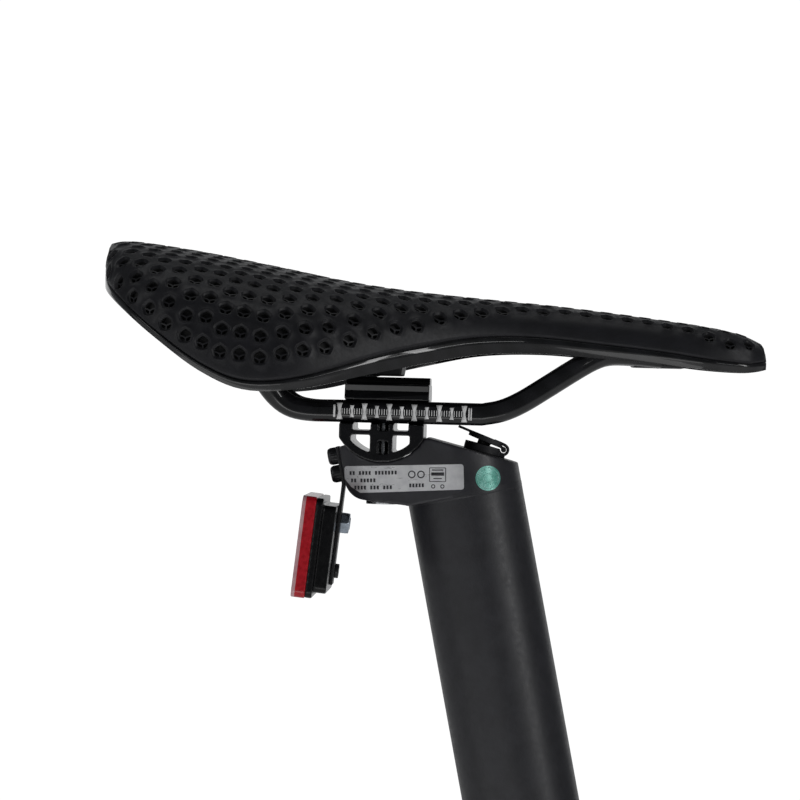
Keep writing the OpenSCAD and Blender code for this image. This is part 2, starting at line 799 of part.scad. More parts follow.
post_tube();
head_casting();
rating_label();
inspection_sticker();
lower_cradle();
upper_clamp();
clamp_bolt();
clamp_washer();
clamp_nut();
rail_left();
rail_right();
shell_bosses();
saddle_shell();
saddle_pad();
reflector_bracket();
bracket_screws();
reflector_housing();
reflector_lens();
reflector_stud();
reflector_nut();
bracket_rivet();
charge_socket();
socket_contacts();
socket_bezel();
port_cap_base();
port_cap_lid();
battery_cells();
cell_holders();
nickel_strips();
insulation_sleeve();
bms_board();
bms_parts();
charge_lead();
output_lead();
end_cap();
cap_seal();
cap_screws();
output_connector();
connector_contacts();
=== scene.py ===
# Battery seatpost with a rail saddle: the looks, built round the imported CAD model.
# Lengths in the outlines below are millimetres in a local frame; MM turns them into metres.
import json
import math

import bmesh
import bpy
import numpy as np
from mathutils import Matrix, Vector
from mathutils.geometry import delaunay_2d_cdt

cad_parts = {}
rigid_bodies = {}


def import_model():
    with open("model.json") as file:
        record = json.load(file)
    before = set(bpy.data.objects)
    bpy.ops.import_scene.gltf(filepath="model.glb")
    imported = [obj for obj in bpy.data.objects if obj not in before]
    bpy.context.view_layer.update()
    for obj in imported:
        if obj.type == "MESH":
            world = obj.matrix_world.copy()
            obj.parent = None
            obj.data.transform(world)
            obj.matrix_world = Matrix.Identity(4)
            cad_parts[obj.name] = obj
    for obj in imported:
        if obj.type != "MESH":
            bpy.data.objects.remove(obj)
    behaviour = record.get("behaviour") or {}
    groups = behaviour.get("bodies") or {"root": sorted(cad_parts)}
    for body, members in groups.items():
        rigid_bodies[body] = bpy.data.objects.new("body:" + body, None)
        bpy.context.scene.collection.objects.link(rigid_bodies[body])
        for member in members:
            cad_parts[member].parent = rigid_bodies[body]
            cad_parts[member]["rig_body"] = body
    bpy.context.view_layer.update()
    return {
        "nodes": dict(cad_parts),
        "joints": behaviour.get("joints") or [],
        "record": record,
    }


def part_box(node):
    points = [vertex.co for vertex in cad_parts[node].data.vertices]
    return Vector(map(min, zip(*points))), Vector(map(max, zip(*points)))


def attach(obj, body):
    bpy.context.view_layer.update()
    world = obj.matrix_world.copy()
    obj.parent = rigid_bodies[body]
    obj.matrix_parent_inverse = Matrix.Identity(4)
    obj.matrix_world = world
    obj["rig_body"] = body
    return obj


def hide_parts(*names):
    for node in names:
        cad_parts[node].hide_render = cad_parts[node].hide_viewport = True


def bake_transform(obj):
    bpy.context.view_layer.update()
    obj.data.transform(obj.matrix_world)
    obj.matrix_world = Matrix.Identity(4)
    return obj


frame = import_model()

MM = 0.001
scene = bpy.context.scene
nodes_by_name = frame["nodes"]
joints = {j["name"]: j for j in frame["joints"]}
mounts = {m["name"]: m for m in frame["record"]["mounts"]}

# -------- frames

post_axis = -Vector(mounts["post_tube"]["axis"])
lean = math.atan2(-post_axis.x, post_axis.z)
tilt_centre = Vector(joints["saddle_tilt"]["pos_m"])
slide_axis = Vector(joints["saddle_slide"]["axis"])
clamp_tilt = math.atan2(-slide_axis.z, slide_axis.x)
port_axis = Vector(mounts["charge_port"]["axis"])
port_slope = math.atan2(port_axis.x, port_axis.z)
lid_hinge = Vector((8.4, 0, 3.3))
head_from_tilt = Vector((30.5, 0, -19.7))


def placed(origin, turn):
    """A local frame at origin, turned about Y."""
    return Matrix.Translation(origin) @ Matrix.Rotation(turn, 4, "Y")


ON_CLAMP = placed(tilt_centre, clamp_tilt)
ON_HEAD = placed(tilt_centre + head_from_tilt * MM, 0)
ON_HEAD_AXIS = placed(tilt_centre + head_from_tilt * MM, -lean)
hinge_point = Vector(joints["port_cap_flip"]["pos_m"])
ON_PORT = placed(hinge_point, port_slope) @ Matrix.Translation(-lid_hinge * MM)
REFLECTOR_BEND = Vector((-46.75, 0, -9))
REFLECTOR_TILT = math.radians(7.3)
ON_REFLECTOR = ON_HEAD @ placed(REFLECTOR_BEND * MM, REFLECTOR_TILT)
TUBE_R = 23.5

# -------- camera, lights and sky


def linked(name, data):
    """A new object in the scene."""
    obj = bpy.data.objects.new(name, data)
    scene.collection.objects.link(obj)
    return obj


VIEW_TURN = math.radians(1.75)
VIEW_DISTANCE = 1.5
FOCAL_LENGTH = 165.6
SENSOR = 36
# The camera looks a little above the clamp's tilting centre and ahead of it.
view_target = tilt_centre + Vector((6.5, 0, 4.8)) * MM
camera_data = bpy.data.cameras.new("camera")
camera_data.lens = FOCAL_LENGTH
camera_data.sensor_width = SENSOR
camera = linked("camera", camera_data)
camera.location = view_target + VIEW_DISTANCE * Vector((math.sin(VIEW_TURN), -math.cos(VIEW_TURN), 0))
camera.rotation_euler = (math.pi / 2, 0, VIEW_TURN)
scene.camera = camera
scene.view_settings.view_transform = "Standard"


def softbox(name, azimuth, elevation, distance, size, power):
    """Area light aimed at the saddle. Azimuth 0 is the camera's side, and positive is to its right."""
    data = bpy.data.lights.new(name, "AREA")
    data.shape = "RECTANGLE"
    data.size, data.size_y = size
    data.energy = power
    light = linked(name, data)
    a, e = math.radians(azimuth), math.radians(elevation)
    way = Vector((math.sin(a) * math.cos(e), -math.cos(a) * math.cos(e), math.sin(e)))
    light.location = view_target + way * distance
    light.rotation_euler = (-way).to_track_quat("-Z", "Y").to_euler()
    light.visible_camera = False


softbox("right_softbox", 57, 14, 1.5, (0.20, 1.0), 3.5)
softbox("left_softbox", -62, 18, 1.6, (0.4, 0.9), 1.9)
softbox("top_softbox", 180, 80, 0.9, (0.9, 0.5), 0.9)
softbox("back_panel", 180, 8, 1.8, (3.0, 1.4), 7)
softbox("right_strip", 47, 3, 1.5, (1.0, 0.07), 0.9)
softbox("left_strip", -38, 2, 1.5, (1.6, 0.08), 0.9)
softbox("left_low", -30, -30, 1.0, (1.4, 0.2), 0.8)
softbox("low_strip", 0, -24, 1.2, (0.7, 0.14), 0.35)

world = bpy.data.worlds.new("studio")
scene.world = world
world.use_nodes = True
sky = world.node_tree
sky.nodes.clear()
sky_out = sky.nodes.new("ShaderNodeOutputWorld")
sky_mix = sky.nodes.new("ShaderNodeMixShader")
sky_path = sky.nodes.new("ShaderNodeLightPath")
# The first sky lights the part dimly, and the second is the white that the camera sees.
for slot, colour, strength in ((1, (0.9, 0.95, 1.0, 1), 0.08), (2, (1, 1, 1, 1), 1.05)):
    background = sky.nodes.new("ShaderNodeBackground")
    background.inputs["Color"].default_value = colour
    background.inputs["Strength"].default_value = strength
    sky.links.new(background.outputs[0], sky_mix.inputs[slot])
sky.links.new(sky_path.outputs["Is Camera Ray"], sky_mix.inputs["Fac"])
sky.links.new(sky_mix.outputs[0], sky_out.inputs["Surface"])

# -------- materials


def grey(value, blue=1.0):
    """A neutral colour, a little bluer when blue is over 1."""
    return (value, value, value * blue)


class Shader:
    """A Principled material built from object-space textures."""

    def __init__(self, name, colour, rough, metal=0.0, **sockets):
        self.material = bpy.data.materials.new(name)
        self.material.use_nodes = True
        self.tree = self.material.node_tree
        self.shader = self.tree.nodes["Principled BSDF"]
        self.colour = colour
        self.rough = rough
        self.shader.inputs["Base Color"].default_value = (*colour, 1)
        self.shader.inputs["Roughness"].default_value = rough
        self.shader.inputs["Metallic"].default_value = metal
        for socket, value in sockets.items():
            self.shader.inputs[socket.replace("_", " ")].default_value = value
        self.place = self.add("ShaderNodeTexCoord").outputs["Object"]

    def add(self, kind, **inputs):
        node = self.tree.nodes.new(kind)
        for socket, value in inputs.items():
            node.inputs[socket.replace("_", " ")].default_value = value
        return node

    def link(self, a, b):
        self.tree.links.new(a, b)

    def stretched(self, stretch, turn=0.0):
        """Object coordinates scaled by stretch, turned about Y, for streaks."""
        mapping = self.add("ShaderNodeMapping")
        mapping.inputs["Scale"].default_value = stretch
        mapping.inputs["Rotation"].default_value = (0, turn, 0)
        self.link(self.place, mapping.inputs["Vector"])
        return mapping.outputs["Vector"]

    def noise(self, grain, place=None):
        """Noise whose features are about grain millimetres across."""
        node = self.add("ShaderNodeTexNoise", Scale=1 / (grain * MM), Detail=3.0, Roughness=0.55)
        self.link(place or self.place, node.inputs["Vector"])
        return node.outputs["Fac"]

    def ramp(self, value, low, high, out_low, out_high):
        node = self.add("ShaderNodeMapRange", From_Min=low, From_Max=high, To_Min=out_low, To_Max=out_high)
        self.link(value, node.inputs["Value"])
        return node.outputs["Result"]

    def vary_rough(self, value, spread):
        """Roughness that follows value, spread to both sides of the set one."""
        self.link(self.ramp(value, 0.3, 0.7, self.rough - spread, self.rough + spread),
                  self.shader.inputs["Roughness"])

    def tint(self, value, other, low=0.35, high=0.65):
        """Colour that goes from the set one to other as value goes from low to high."""
        node = self.add("ShaderNodeMix")
        node.data_type = "RGBA"
        colour_a, colour_b, result = node.inputs[6], node.inputs[7], node.outputs[2]
        colour_a.default_value = (*self.colour, 1)
        colour_b.default_value = (*other, 1)
        self.link(self.ramp(value, low, high, 0.0, 1.0), node.inputs[0])
        self.link(result, self.shader.inputs["Base Color"])

    def bump(self, value, depth):
        """Bump of depth millimetres."""
        node = self.add("ShaderNodeBump", Strength=1.0, Distance=depth * MM)
        self.link(value, node.inputs["Height"])
        self.link(node.outputs["Normal"], self.shader.inputs["Normal"])


def coated(name, value, rough, grain, depth, blue=1.18, **sockets):
    """Paint or moulded plastic with a fine grain, and soft patches of sheen."""
    s = Shader(name, grey(value, blue), rough, **sockets)
    s.tint(s.noise(grain * 14), grey(value * 1.35, blue))
    s.vary_rough(s.noise(grain * 5), 0.05)
    s.bump(s.noise(grain), depth)
    return s.material


def metal(name, colour, rough, stretch=(1, 1, 1), grain=0.5, turn=0.0):
    """Bare metal with streaks along the axis that stretch shortens."""
    s = Shader(name, colour, rough, metal=1.0)
    streak = s.noise(grain, place=s.stretched(stretch, turn))
    s.vary_rough(streak, 0.08)
    s.tint(s.noise(grain * 9), tuple(c * 0.82 for c in colour))
    s.bump(streak, 0.004)
    return s.material


MAT = {
    # painted shade: a darker, rougher black than the cover, standing in for the shade inside the dimples
    "pit": coated("pit_painted_shade", 0.004, 0.7, 0.6, 0.02),
    "print": coated("label_print", 0.03, 0.5, 0.3, 0.004),
    "white": coated("scale_print", 0.80, 0.45, 0.3, 0.004, blue=1.0),
    "holder": coated("holder_plastic", 0.62, 0.5, 0.6, 0.01, blue=0.94),
    "powder": coated("powder_coat", 0.021, 0.40, 0.45, 0.030),
    "cast": coated("cast_coat", 0.024, 0.36, 0.6, 0.030),
    "clamp": coated("clamp_coat", 0.005, 0.16, 0.5, 0.003),
    "strip": coated("black_strip", 0.012, 0.40, 0.4, 0.012),
    "screw": coated("black_steel", 0.014, 0.34, 0.3, 0.008),
    "plastic": coated("black_plastic", 0.003, 0.22, 0.5, 0.005, Specular_IOR_Level=0.35),
    "rubber": coated("cap_rubber", 0.018, 0.50, 0.5, 0.020),
    "steel": metal("bolt_steel", (0.72, 0.73, 0.75), 0.20, (1, 1, 6)),
    "zinc": metal("zinc_steel", (0.50, 0.57, 0.66), 0.30),
    "brass": metal("contact_brass", (0.80, 0.62, 0.30), 0.25),
    "nickel": metal("nickel", (0.62, 0.61, 0.60), 0.30, (6, 1, 1)),
}


def carbon_material():
    """Clear-coated laminate: a faint twill under a smooth gloss."""
    s = Shader("gloss_carbon", grey(0.0035, 1.2), 0.30, Coat_Weight=1.0, Coat_Roughness=0.05,
               Specular_IOR_Level=0.15)
    weave = s.add("ShaderNodeTexWave", Scale=1 / (2.6 * MM) / 10, Distortion=0.0)
    weave.bands_direction = "DIAGONAL"
    s.link(s.stretched((1, 1, 1)), weave.inputs["Vector"])
    s.tint(weave.outputs["Fac"], grey(0.008, 1.2), 0.2, 0.8)
    s.vary_rough(s.noise(3.0), 0.04)
    return s.material


def cover_material():
    """Moulded saddle cover: matt black with a fine leather-like grain."""
    s = Shader("saddle_cover", grey(0.009, 1.25), 0.44, Specular_IOR_Level=0.36,
               Sheen_Weight=0.03, Sheen_Roughness=0.4)
    cells = s.add("ShaderNodeTexVoronoi", Scale=1 / (0.7 * MM))
    cells.feature = "F1"
    s.link(s.place, cells.inputs["Vector"])
    s.tint(s.noise(9.0), grey(0.014, 1.25))
    s.vary_rough(s.noise(1.2), 0.05)
    s.bump(cells.outputs["Distance"], 0.018)
    return s.material


def lens_material(name, depth):
    """Red plastic over small prisms, depth millimetres deep."""
    s = Shader(name, (0.46, 0.004, 0.012), 0.20, Coat_Weight=0.3, Coat_Roughness=0.05,
               Transmission_Weight=0.10, IOR=1.45)
    prisms = s.add("ShaderNodeTexVoronoi", Scale=1 / (1.6 * MM))
    s.link(s.place, prisms.inputs["Vector"])
    s.tint(prisms.outputs["Distance"], (0.62, 0.012, 0.025), 0.1, 0.7)
    s.bump(prisms.outputs["Distance"], depth)
    return s.material


def film_material(name, colour, other, rough, metal_part):
    """Printed film with a brushed look."""
    s = Shader(name, colour, rough, metal=metal_part, Coat_Weight=0.3, Coat_Roughness=0.15)
    streak = s.noise(1.5, place=s.stretched((0.1, 1, 1)))
    s.tint(s.noise(4.0), other)
    s.vary_rough(streak, 0.06)
    s.bump(streak, 0.002)
    return s.material


MAT["carbon"] = carbon_material()
MAT["cover"] = cover_material()
MAT["lens"] = lens_material("red_lens", 0.01)
MAT["prisms"] = lens_material("red_prisms", 0.6)
FILMS = {
    "label": ("label_film", (0.86, 0.86, 0.87), (0.74, 0.74, 0.76), 0.32, 0.5),
    "green": ("green_film", (0.07, 0.36, 0.28), (0.20, 0.55, 0.47), 0.30, 0.2),
    # painted highlight: pale pink for the lens's sides near its front
    "lens_highlight": ("lens_side_painted_highlight", (0.62, 0.30, 0.33), (0.72, 0.44, 0.46), 0.2, 0.0),
    "pale": ("pale_green", (0.25, 0.75, 0.62), (0.50, 0.85, 0.78), 0.3, 0.4),
    "wrap": ("cell_wrap", (0.03, 0.12, 0.34), (0.04, 0.16, 0.42), 0.3, 0.0),
    "sleeve": ("sleeve_film", (0.03, 0.16, 0.42), (0.04, 0.20, 0.50), 0.35, 0.0),
    "board": ("board_green", (0.01, 0.14, 0.05), (0.02, 0.20, 0.07), 0.35, 0.0),
    "lead": ("lead_red", (0.42, 0.01, 0.01), (0.50, 0.02, 0.02), 0.4, 0.0),
}
for key, settings in FILMS.items():
    MAT[key] = film_material(*settings)


def floor_material():
    """Pale studio floor with a very faint grain."""
    s = Shader("floor", grey(0.84), 0.8, Emission_Strength=0.22, Emission_Color=(1, 1, 1, 1))
    s.tint(s.noise(25.0), grey(0.86))
    s.vary_rough(s.noise(3.0), 0.03)
    return s.material


# -------- mesh helpers


def piece(name, verts, faces, place, body, mat, stands_for=(), flat=None, finish=None):
    """A mesh from local millimetres, riding on body. Edges sharper than flat degrees stay sharp."""
    mesh = bpy.data.meshes.new(name)
    mesh.from_pydata([tuple(v) for v in np.asarray(verts, float) * MM], [], faces)
    mesh.transform(place)
    mesh.validate()
    return dress(linked(name, mesh), body, mat, stands_for, flat, finish)


def dress(obj, body, mat, stands_for=(), flat=None, finish=None):
    """Gives a new object its material, and puts it on its body."""
    obj.data.materials.clear()
    obj.data.materials.append(MAT[mat])
    obj.data.polygons.foreach_set("use_smooth", [True] * len(obj.data.polygons))
    if flat is not None:
        obj.data.set_sharp_from_angle(angle=math.radians(flat))
    if body:
        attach(obj, body)
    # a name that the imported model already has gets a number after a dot
    finish or MAT[mat].name.split(".")[0]
    if stands_for:
        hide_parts(*stands_for)
    return obj


def modifier(obj, kind, **settings):
    m = obj.modifiers.new(kind.title(), kind)
    for key, value in settings.items():
        setattr(m, key, value)
    return m


def tube_faces(rows, n):
    """Quads between rows of n points each, with the first and last rows filled."""
    faces = [(i * n + j, i * n + (j + 1) % n, (i + 1) * n + (j + 1) % n, (i + 1) * n + j)
             for i in range(rows - 1) for j in range(n)]
    faces.append(tuple(range(n))[::-1])
    faces.append(tuple((rows - 1) * n + j for j in range(n)))
    return faces


def ring_share(kind, angle):
    """Share of the radius at an angle, for a ring that is round, knurled or a hexagon."""
    if kind == "hex":
        return math.cos(math.pi / 6) / math.cos((angle + math.pi / 6) % (math.pi / 3) - math.pi / 6)
    if kind == "knurl":
        return 1 + 0.03 * (math.sin(24 * angle + 0.4) > 0)
    return 1.0


def lathe(profile, turn):
    """Points and faces of a profile of (radius, height, kind), turned about Z in turn steps."""
    verts, rings = [], []
    for r, z, *kind in profile:
        if r < 1e-6:
            rings.append([len(verts)])
            verts.append((0, 0, z))
            continue
        rings.append(list(range(len(verts), len(verts) + turn)))
        for k in range(turn):
            angle = 2 * math.pi * k / turn
            share = r * ring_share(kind[0] if kind else "round", angle)
            verts.append((share * math.cos(angle), share * math.sin(angle), z))
    pairs = list(zip(rings, rings[1:]))
    if len(rings[0]) > 1:
        pairs.append((rings[-1], rings[0]))
    faces = []
    for a, b in pairs:
        for k in range(turn):
            q = [a[k % len(a)], a[(k + 1) % len(a)], b[(k + 1) % len(b)], b[k % len(b)]]
            q = [v for i, v in enumerate(q) if v not in q[:i]]
            if len(q) > 2:
                faces.append(tuple(q))
    return verts, faces


def spline(points, u):
    """Smooth curve through a list of points, u from 0 at the first to 1 at the last."""
    p = np.asarray(points, float)
    p = p.reshape(len(p), -1)
    n = len(p) - 1
    u = np.asarray(u, float)
    k = np.minimum(np.floor(u * n).astype(int), n - 1)
    f = (u * n - k)[..., None]
    a, b, c, d = p[np.maximum(k - 1, 0)], p[k], p[k + 1], p[np.minimum(k + 2, n)]
    return b + 0.5 * f * ((c - a) + f * ((2 * a - 5 * b + 4 * c - d) + f * (3 * b - a - 3 * c + d)))


# -------- saddle surface

# Top line of the saddle, and the shell's lower edge, in the clamp's frame.
CROWN = [(-112.5, 66), (-103, 66.6), (-92, 65.5), (-76, 63.3), (-58, 60.3), (-38, 56.7),
         (-18, 53), (2, 50.2), (22, 48.2), (44, 46.5), (66, 44.9), (88, 42.8), (110, 40.3),
         (128, 38), (142, 35.4), (152, 31.5)]
EDGE = [(-114, 10, 50.5), (-111, 34, 45.5), (-102.5, 51, 38), (-88.5, 63, 27), (-70, 69.5, 14.3),
        (-52, 71.5, 7.4), (-30, 68, 8.5), (-6, 56, 14.3), (16, 42, 19.4), (38, 31.5, 23.8),
        (62, 24.5, 25), (88, 21.5, 23.6), (112, 20, 22), (132, 18.6, 20.1), (147, 14, 19.6),
        (154.5, 6, 21)]
# Height of the rim below the padding, from the tail to the nose, as shares of RIM_H.
RIM_LINE = [0.9, 0.6, 0.6, 0.8, 1.35, 1.3, 1.05, 0.8, 0.6]
RIM_H = 5.5
# Thickness of the padding and of the shell.
PAD_T = 10
SHELL_T = 2
# Most that the padding and the shell take of the saddle's height, and how far the padding thins at its rim.
PAD_SHARE = 0.36
SHELL_SHARE = 0.2
PAD_THINNING = 0.86
# How much a lower layer draws in at the sides, for each millimetre of its depth.
SIDE_DRAW = 0.8
SIDE_POWER = 0.86
TOP_POWER = 0.62
# Share of the length, at the nose and the tail, over which the lower layers run out to the front line.
END_BLEND = 0.035


def rim_v(u):
    """How far round from the crown the padding ends, where 1 is the shell's edge."""
    h = spline(CROWN, u)[..., 1] - spline(EDGE, u)[..., 2]
    return np.degrees(np.arccos((RIM_H * spline(RIM_LINE, u)[..., 0] / h) ** (1 / TOP_POWER))) / 90


def skin_at(u, v, side, extra, layer):
    """Points at v from the crown to the edge, at the layer's depth plus extra millimetres."""
    k, e = spline(CROWN, u), spline(EDGE, u)
    h = k[..., 1] - e[..., 2]
    under = np.minimum(PAD_T, PAD_SHARE * h) * (1 - PAD_THINNING * np.minimum(v / rim_v(u), 1) ** 4)
    d = (0, under, under + np.minimum(SHELL_T, SHELL_SHARE * h))[layer] + extra
    out = np.sin(np.radians(90 * v)) ** SIDE_POWER
    up = np.maximum(np.cos(np.radians(90 * v)), 0) ** TOP_POWER
    # how far out the top layer is at this point's height
    share = np.clip((h - d) * up / h, 0, 1)
    front = np.sin(np.arccos(share ** (1 / TOP_POWER))) ** SIDE_POWER
    blend = np.clip((np.maximum(u, 1 - u) - 1 + END_BLEND) / END_BLEND, 0, 1)
    ahead = out + blend * np.maximum(front - out, 0)
    return np.stack([k[..., 0] + (e[..., 0] - k[..., 0]) * ahead,
                     side * (e[..., 1] - SIDE_DRAW * d) * out,
                     e[..., 2] + (h - d) * up], -1)


def skin(u, f, layer=0):
    """One layer of the saddle, f from -1 to 1 across the padding and up to 2 at the edge."""
    g, rim = np.abs(f), rim_v(u)
    v = np.where(g <= 1, g * rim, rim + (g - 1) * (1 - rim))
    return skin_at(u, v, np.sign(f), 0.0, layer)


class Chart:
    """The padding's outside laid flat: a runs along the crown and b across, both in millimetres."""

    def __init__(self):
        along, across = 301, 181
        fine = np.linspace(0, 1, 6 * across)
        u = np.linspace(0, 1, along)
        crown = spline(CROWN, u)
        steps = np.linalg.norm(np.diff(crown, axis=0), axis=1)
        self.a = np.concatenate([[0], np.cumsum(steps)])
        self.length = self.a[-1]
        self.top = np.zeros((along, 2 * across - 1, 3))
        self.under = np.zeros_like(self.top)
        self.half = np.zeros(along)
        share = np.linspace(0, 1, across)
        for i, station in enumerate(u):
            row = skin(np.full_like(fine, station), fine)
            arc = np.concatenate([[0], np.cumsum(np.linalg.norm(np.diff(row, axis=0), axis=1))])
            self.half[i] = arc[-1]
            f = np.interp(share * arc[-1], arc, fine)
            for table, layer in ((self.top, 0), (self.under, 1)):
                side = skin(np.full_like(f, station), f, layer)
                table[i, across - 1:] = side
                table[i, :across] = (side * (1, -1, 1))[::-1]

    def half_at(self, a):
        return np.interp(a, self.a, self.half)

    def find(self, table, a, b):
        """Points of a table at chart places."""
        rows, cols = table.shape[:2]
        i = np.interp(a, self.a, np.arange(rows))
        j = (np.clip(b / self.half_at(a), -1, 1) + 1) / 2 * (cols - 1)
        i0 = np.clip(np.floor(i).astype(int), 0, rows - 2)
        j0 = np.clip(np.floor(j).astype(int), 0, cols - 2)
        s, t = (i - i0)[..., None], (j - j0)[..., None]
        return (table[i0, j0] * (1 - s) * (1 - t) + table[i0 + 1, j0] * s * (1 - t)
                + table[i0, j0 + 1] * (1 - s) * t + table[i0 + 1, j0 + 1] * s * t)

    def tangents(self, a, b, step=1.2):
        """Change of the outside's point per millimetre of a and of b."""
        a0, a1 = np.maximum(a - step, 0), np.minimum(a + step, self.length)
        limit = self.half_at(a)
        b0, b1 = np.maximum(b - step, -limit), np.minimum(b + step, limit)
        along = (self.find(self.top, a1, b) - self.find(self.top, a0, b)) / (a1 - a0)[..., None]
        across = (self.find(self.top, a, b1) - self.find(self.top, a, b0)) / (b1 - b0)[..., None]
        return along, across

    def normal(self, a, b):
        n = np.cross(*self.tangents(a, b))
        return n / np.linalg.norm(n, axis=-1, keepdims=True)


chart = Chart()

# -------- padding with its dimples

DIMPLE_PITCH = 8.9
# Plain border between the dimples and the padding's edge, from the tail to the nose.
BORDER = [3.5, 3.5, 4.5, 6, 8.0, 9.0, 8, 7.5, 8.5, 10, 11.5, 12, 12, 10, 6.5, 4]
# First row of dimples from the tail, and the length left free at the nose.
FIRST_ROW = 3.0
NOSE_CLEAR = 6
# Spacing of the samples that the dimples settle on, and how far the samples reach into the border.
SAMPLE_STEP = 1.3
SAMPLE_REACH = 3.4
# Lines that round the padding's edge over: distance inside it, and height.
EDGE_LINES = [(0, -0.55), (0.45, -0.13), (1.1, 0.0)]
# Spacing of the plain points between the dimples, and of the net on the padding's underside.
FILL_STEP = 2.3
UNDER_STEP = 6.0
# Rings round a dimple: share of its radius, and height above the padding.
LIP = [(1.32, 0.0), (1.15, 0.20), (1.03, 0.14), (0.95, -0.75)]
RING = 18
PIT_DEPTH = 2.6
# Faces on the flanks below this height get the pit material's painted shade.
PIT_FLOOR = -1.0
# The three pits inside a dimple, pointed at the crown, with ribs in a Y between them.
PITS = [[(-0.80, 0.10), (-0.66, 0.44), (-0.34, 0.70), (0.0, 0.86), (0.34, 0.70), (0.66, 0.44),
         (0.80, 0.10), (0.36, -0.04), (0.0, -0.20), (-0.36, -0.04)],
        [(-0.76, -0.12), (-0.40, -0.22), (-0.09, -0.40), (-0.09, -0.76), (-0.42, -0.72), (-0.64, -0.50)],
        [(0.76, -0.12), (0.64, -0.50), (0.42, -0.72), (0.09, -0.76), (0.09, -0.40), (0.40, -0.22)]]


def dimple_outline():
    """Pentagon with softened corners, one of them at the crown's side."""
    angles = np.radians(90 + 360 * np.arange(RING) / RING)
    fold = np.abs((angles - math.pi / 2 + math.pi / 5) % (2 * math.pi / 5) - math.pi / 5)
    straight = math.cos(math.pi / 5) / np.cos(math.pi / 5 - fold)
    radius = 0.75 * straight / straight.mean() + 0.25
    return np.stack([np.cos(angles), np.sin(angles)], -1) * radius[:, None]


def dimple_sites():
    """Even places for the dimples, settled by moving each to the middle of its own patch."""
    rows = int(chart.length / (DIMPLE_PITCH * 0.866))
    sites = []
    for i in range(rows + 1):
        a = FIRST_ROW + i * DIMPLE_PITCH * 0.866
        limit = chart.half_at(a) - spline(BORDER, a / chart.length)[0]
        steps = int(2 * limit / DIMPLE_PITCH)
        start = -DIMPLE_PITCH * steps / 2
        for j in range(steps + 1):
            b = start + j * DIMPLE_PITCH
            if abs(b) <= limit and a < chart.length - NOSE_CLEAR:
                sites.append((a, b))
    sites = np.array(sites)
    grid_a = np.arange(FIRST_ROW + 1, chart.length - NOSE_CLEAR + 0.5, SAMPLE_STEP)
    samples = np.array([(a, b) for a in grid_a for b in np.arange(-110, 110, SAMPLE_STEP)
                        if abs(b) < chart.half_at(a) - spline(BORDER, a / chart.length)[0] + SAMPLE_REACH])
    places = chart.find(chart.top, samples[:, 0], samples[:, 1])
    along, across = chart.tangents(samples[:, 0], samples[:, 1])
    share = np.abs(samples[:, 1]) / chart.half_at(samples[:, 0])
    flank = np.clip((share - 0.3) / 0.4, 0, 1)
    weight = np.linalg.norm(np.cross(along, across), axis=1) * (1 - 0.62 * flank)
    for _ in range(14):
        here = chart.find(chart.top, sites[:, 0], sites[:, 1])
        near = np.zeros(len(places), int)
        for k in range(0, len(places), 2000):
            part = places[k:k + 2000]
            gaps = ((part[:, None, :] - here[None, :, :]) ** 2).sum(-1)
            near[k:k + 2000] = gaps.argmin(1)
        total = np.bincount(near, weight, len(sites))
        kept = total > 0
        sums = np.stack([np.bincount(near, weight * samples[:, c], len(sites)) for c in (0, 1)], -1)
        sites = sums[kept] / total[kept, None]
    return sites


def site_sizes(sites):
    """Radius of each dimple: larger on the flanks than on the crown, and less towards the nose."""
    share = np.abs(sites[:, 1]) / chart.half_at(sites[:, 0])
    radius = 2.1 + 0.9 * np.clip((share - 0.25) / 0.4, 0, 1)
    nose = np.clip((sites[:, 0] - 180) / 80, 0, 1)
    return radius * (1 - 0.12 * nose)


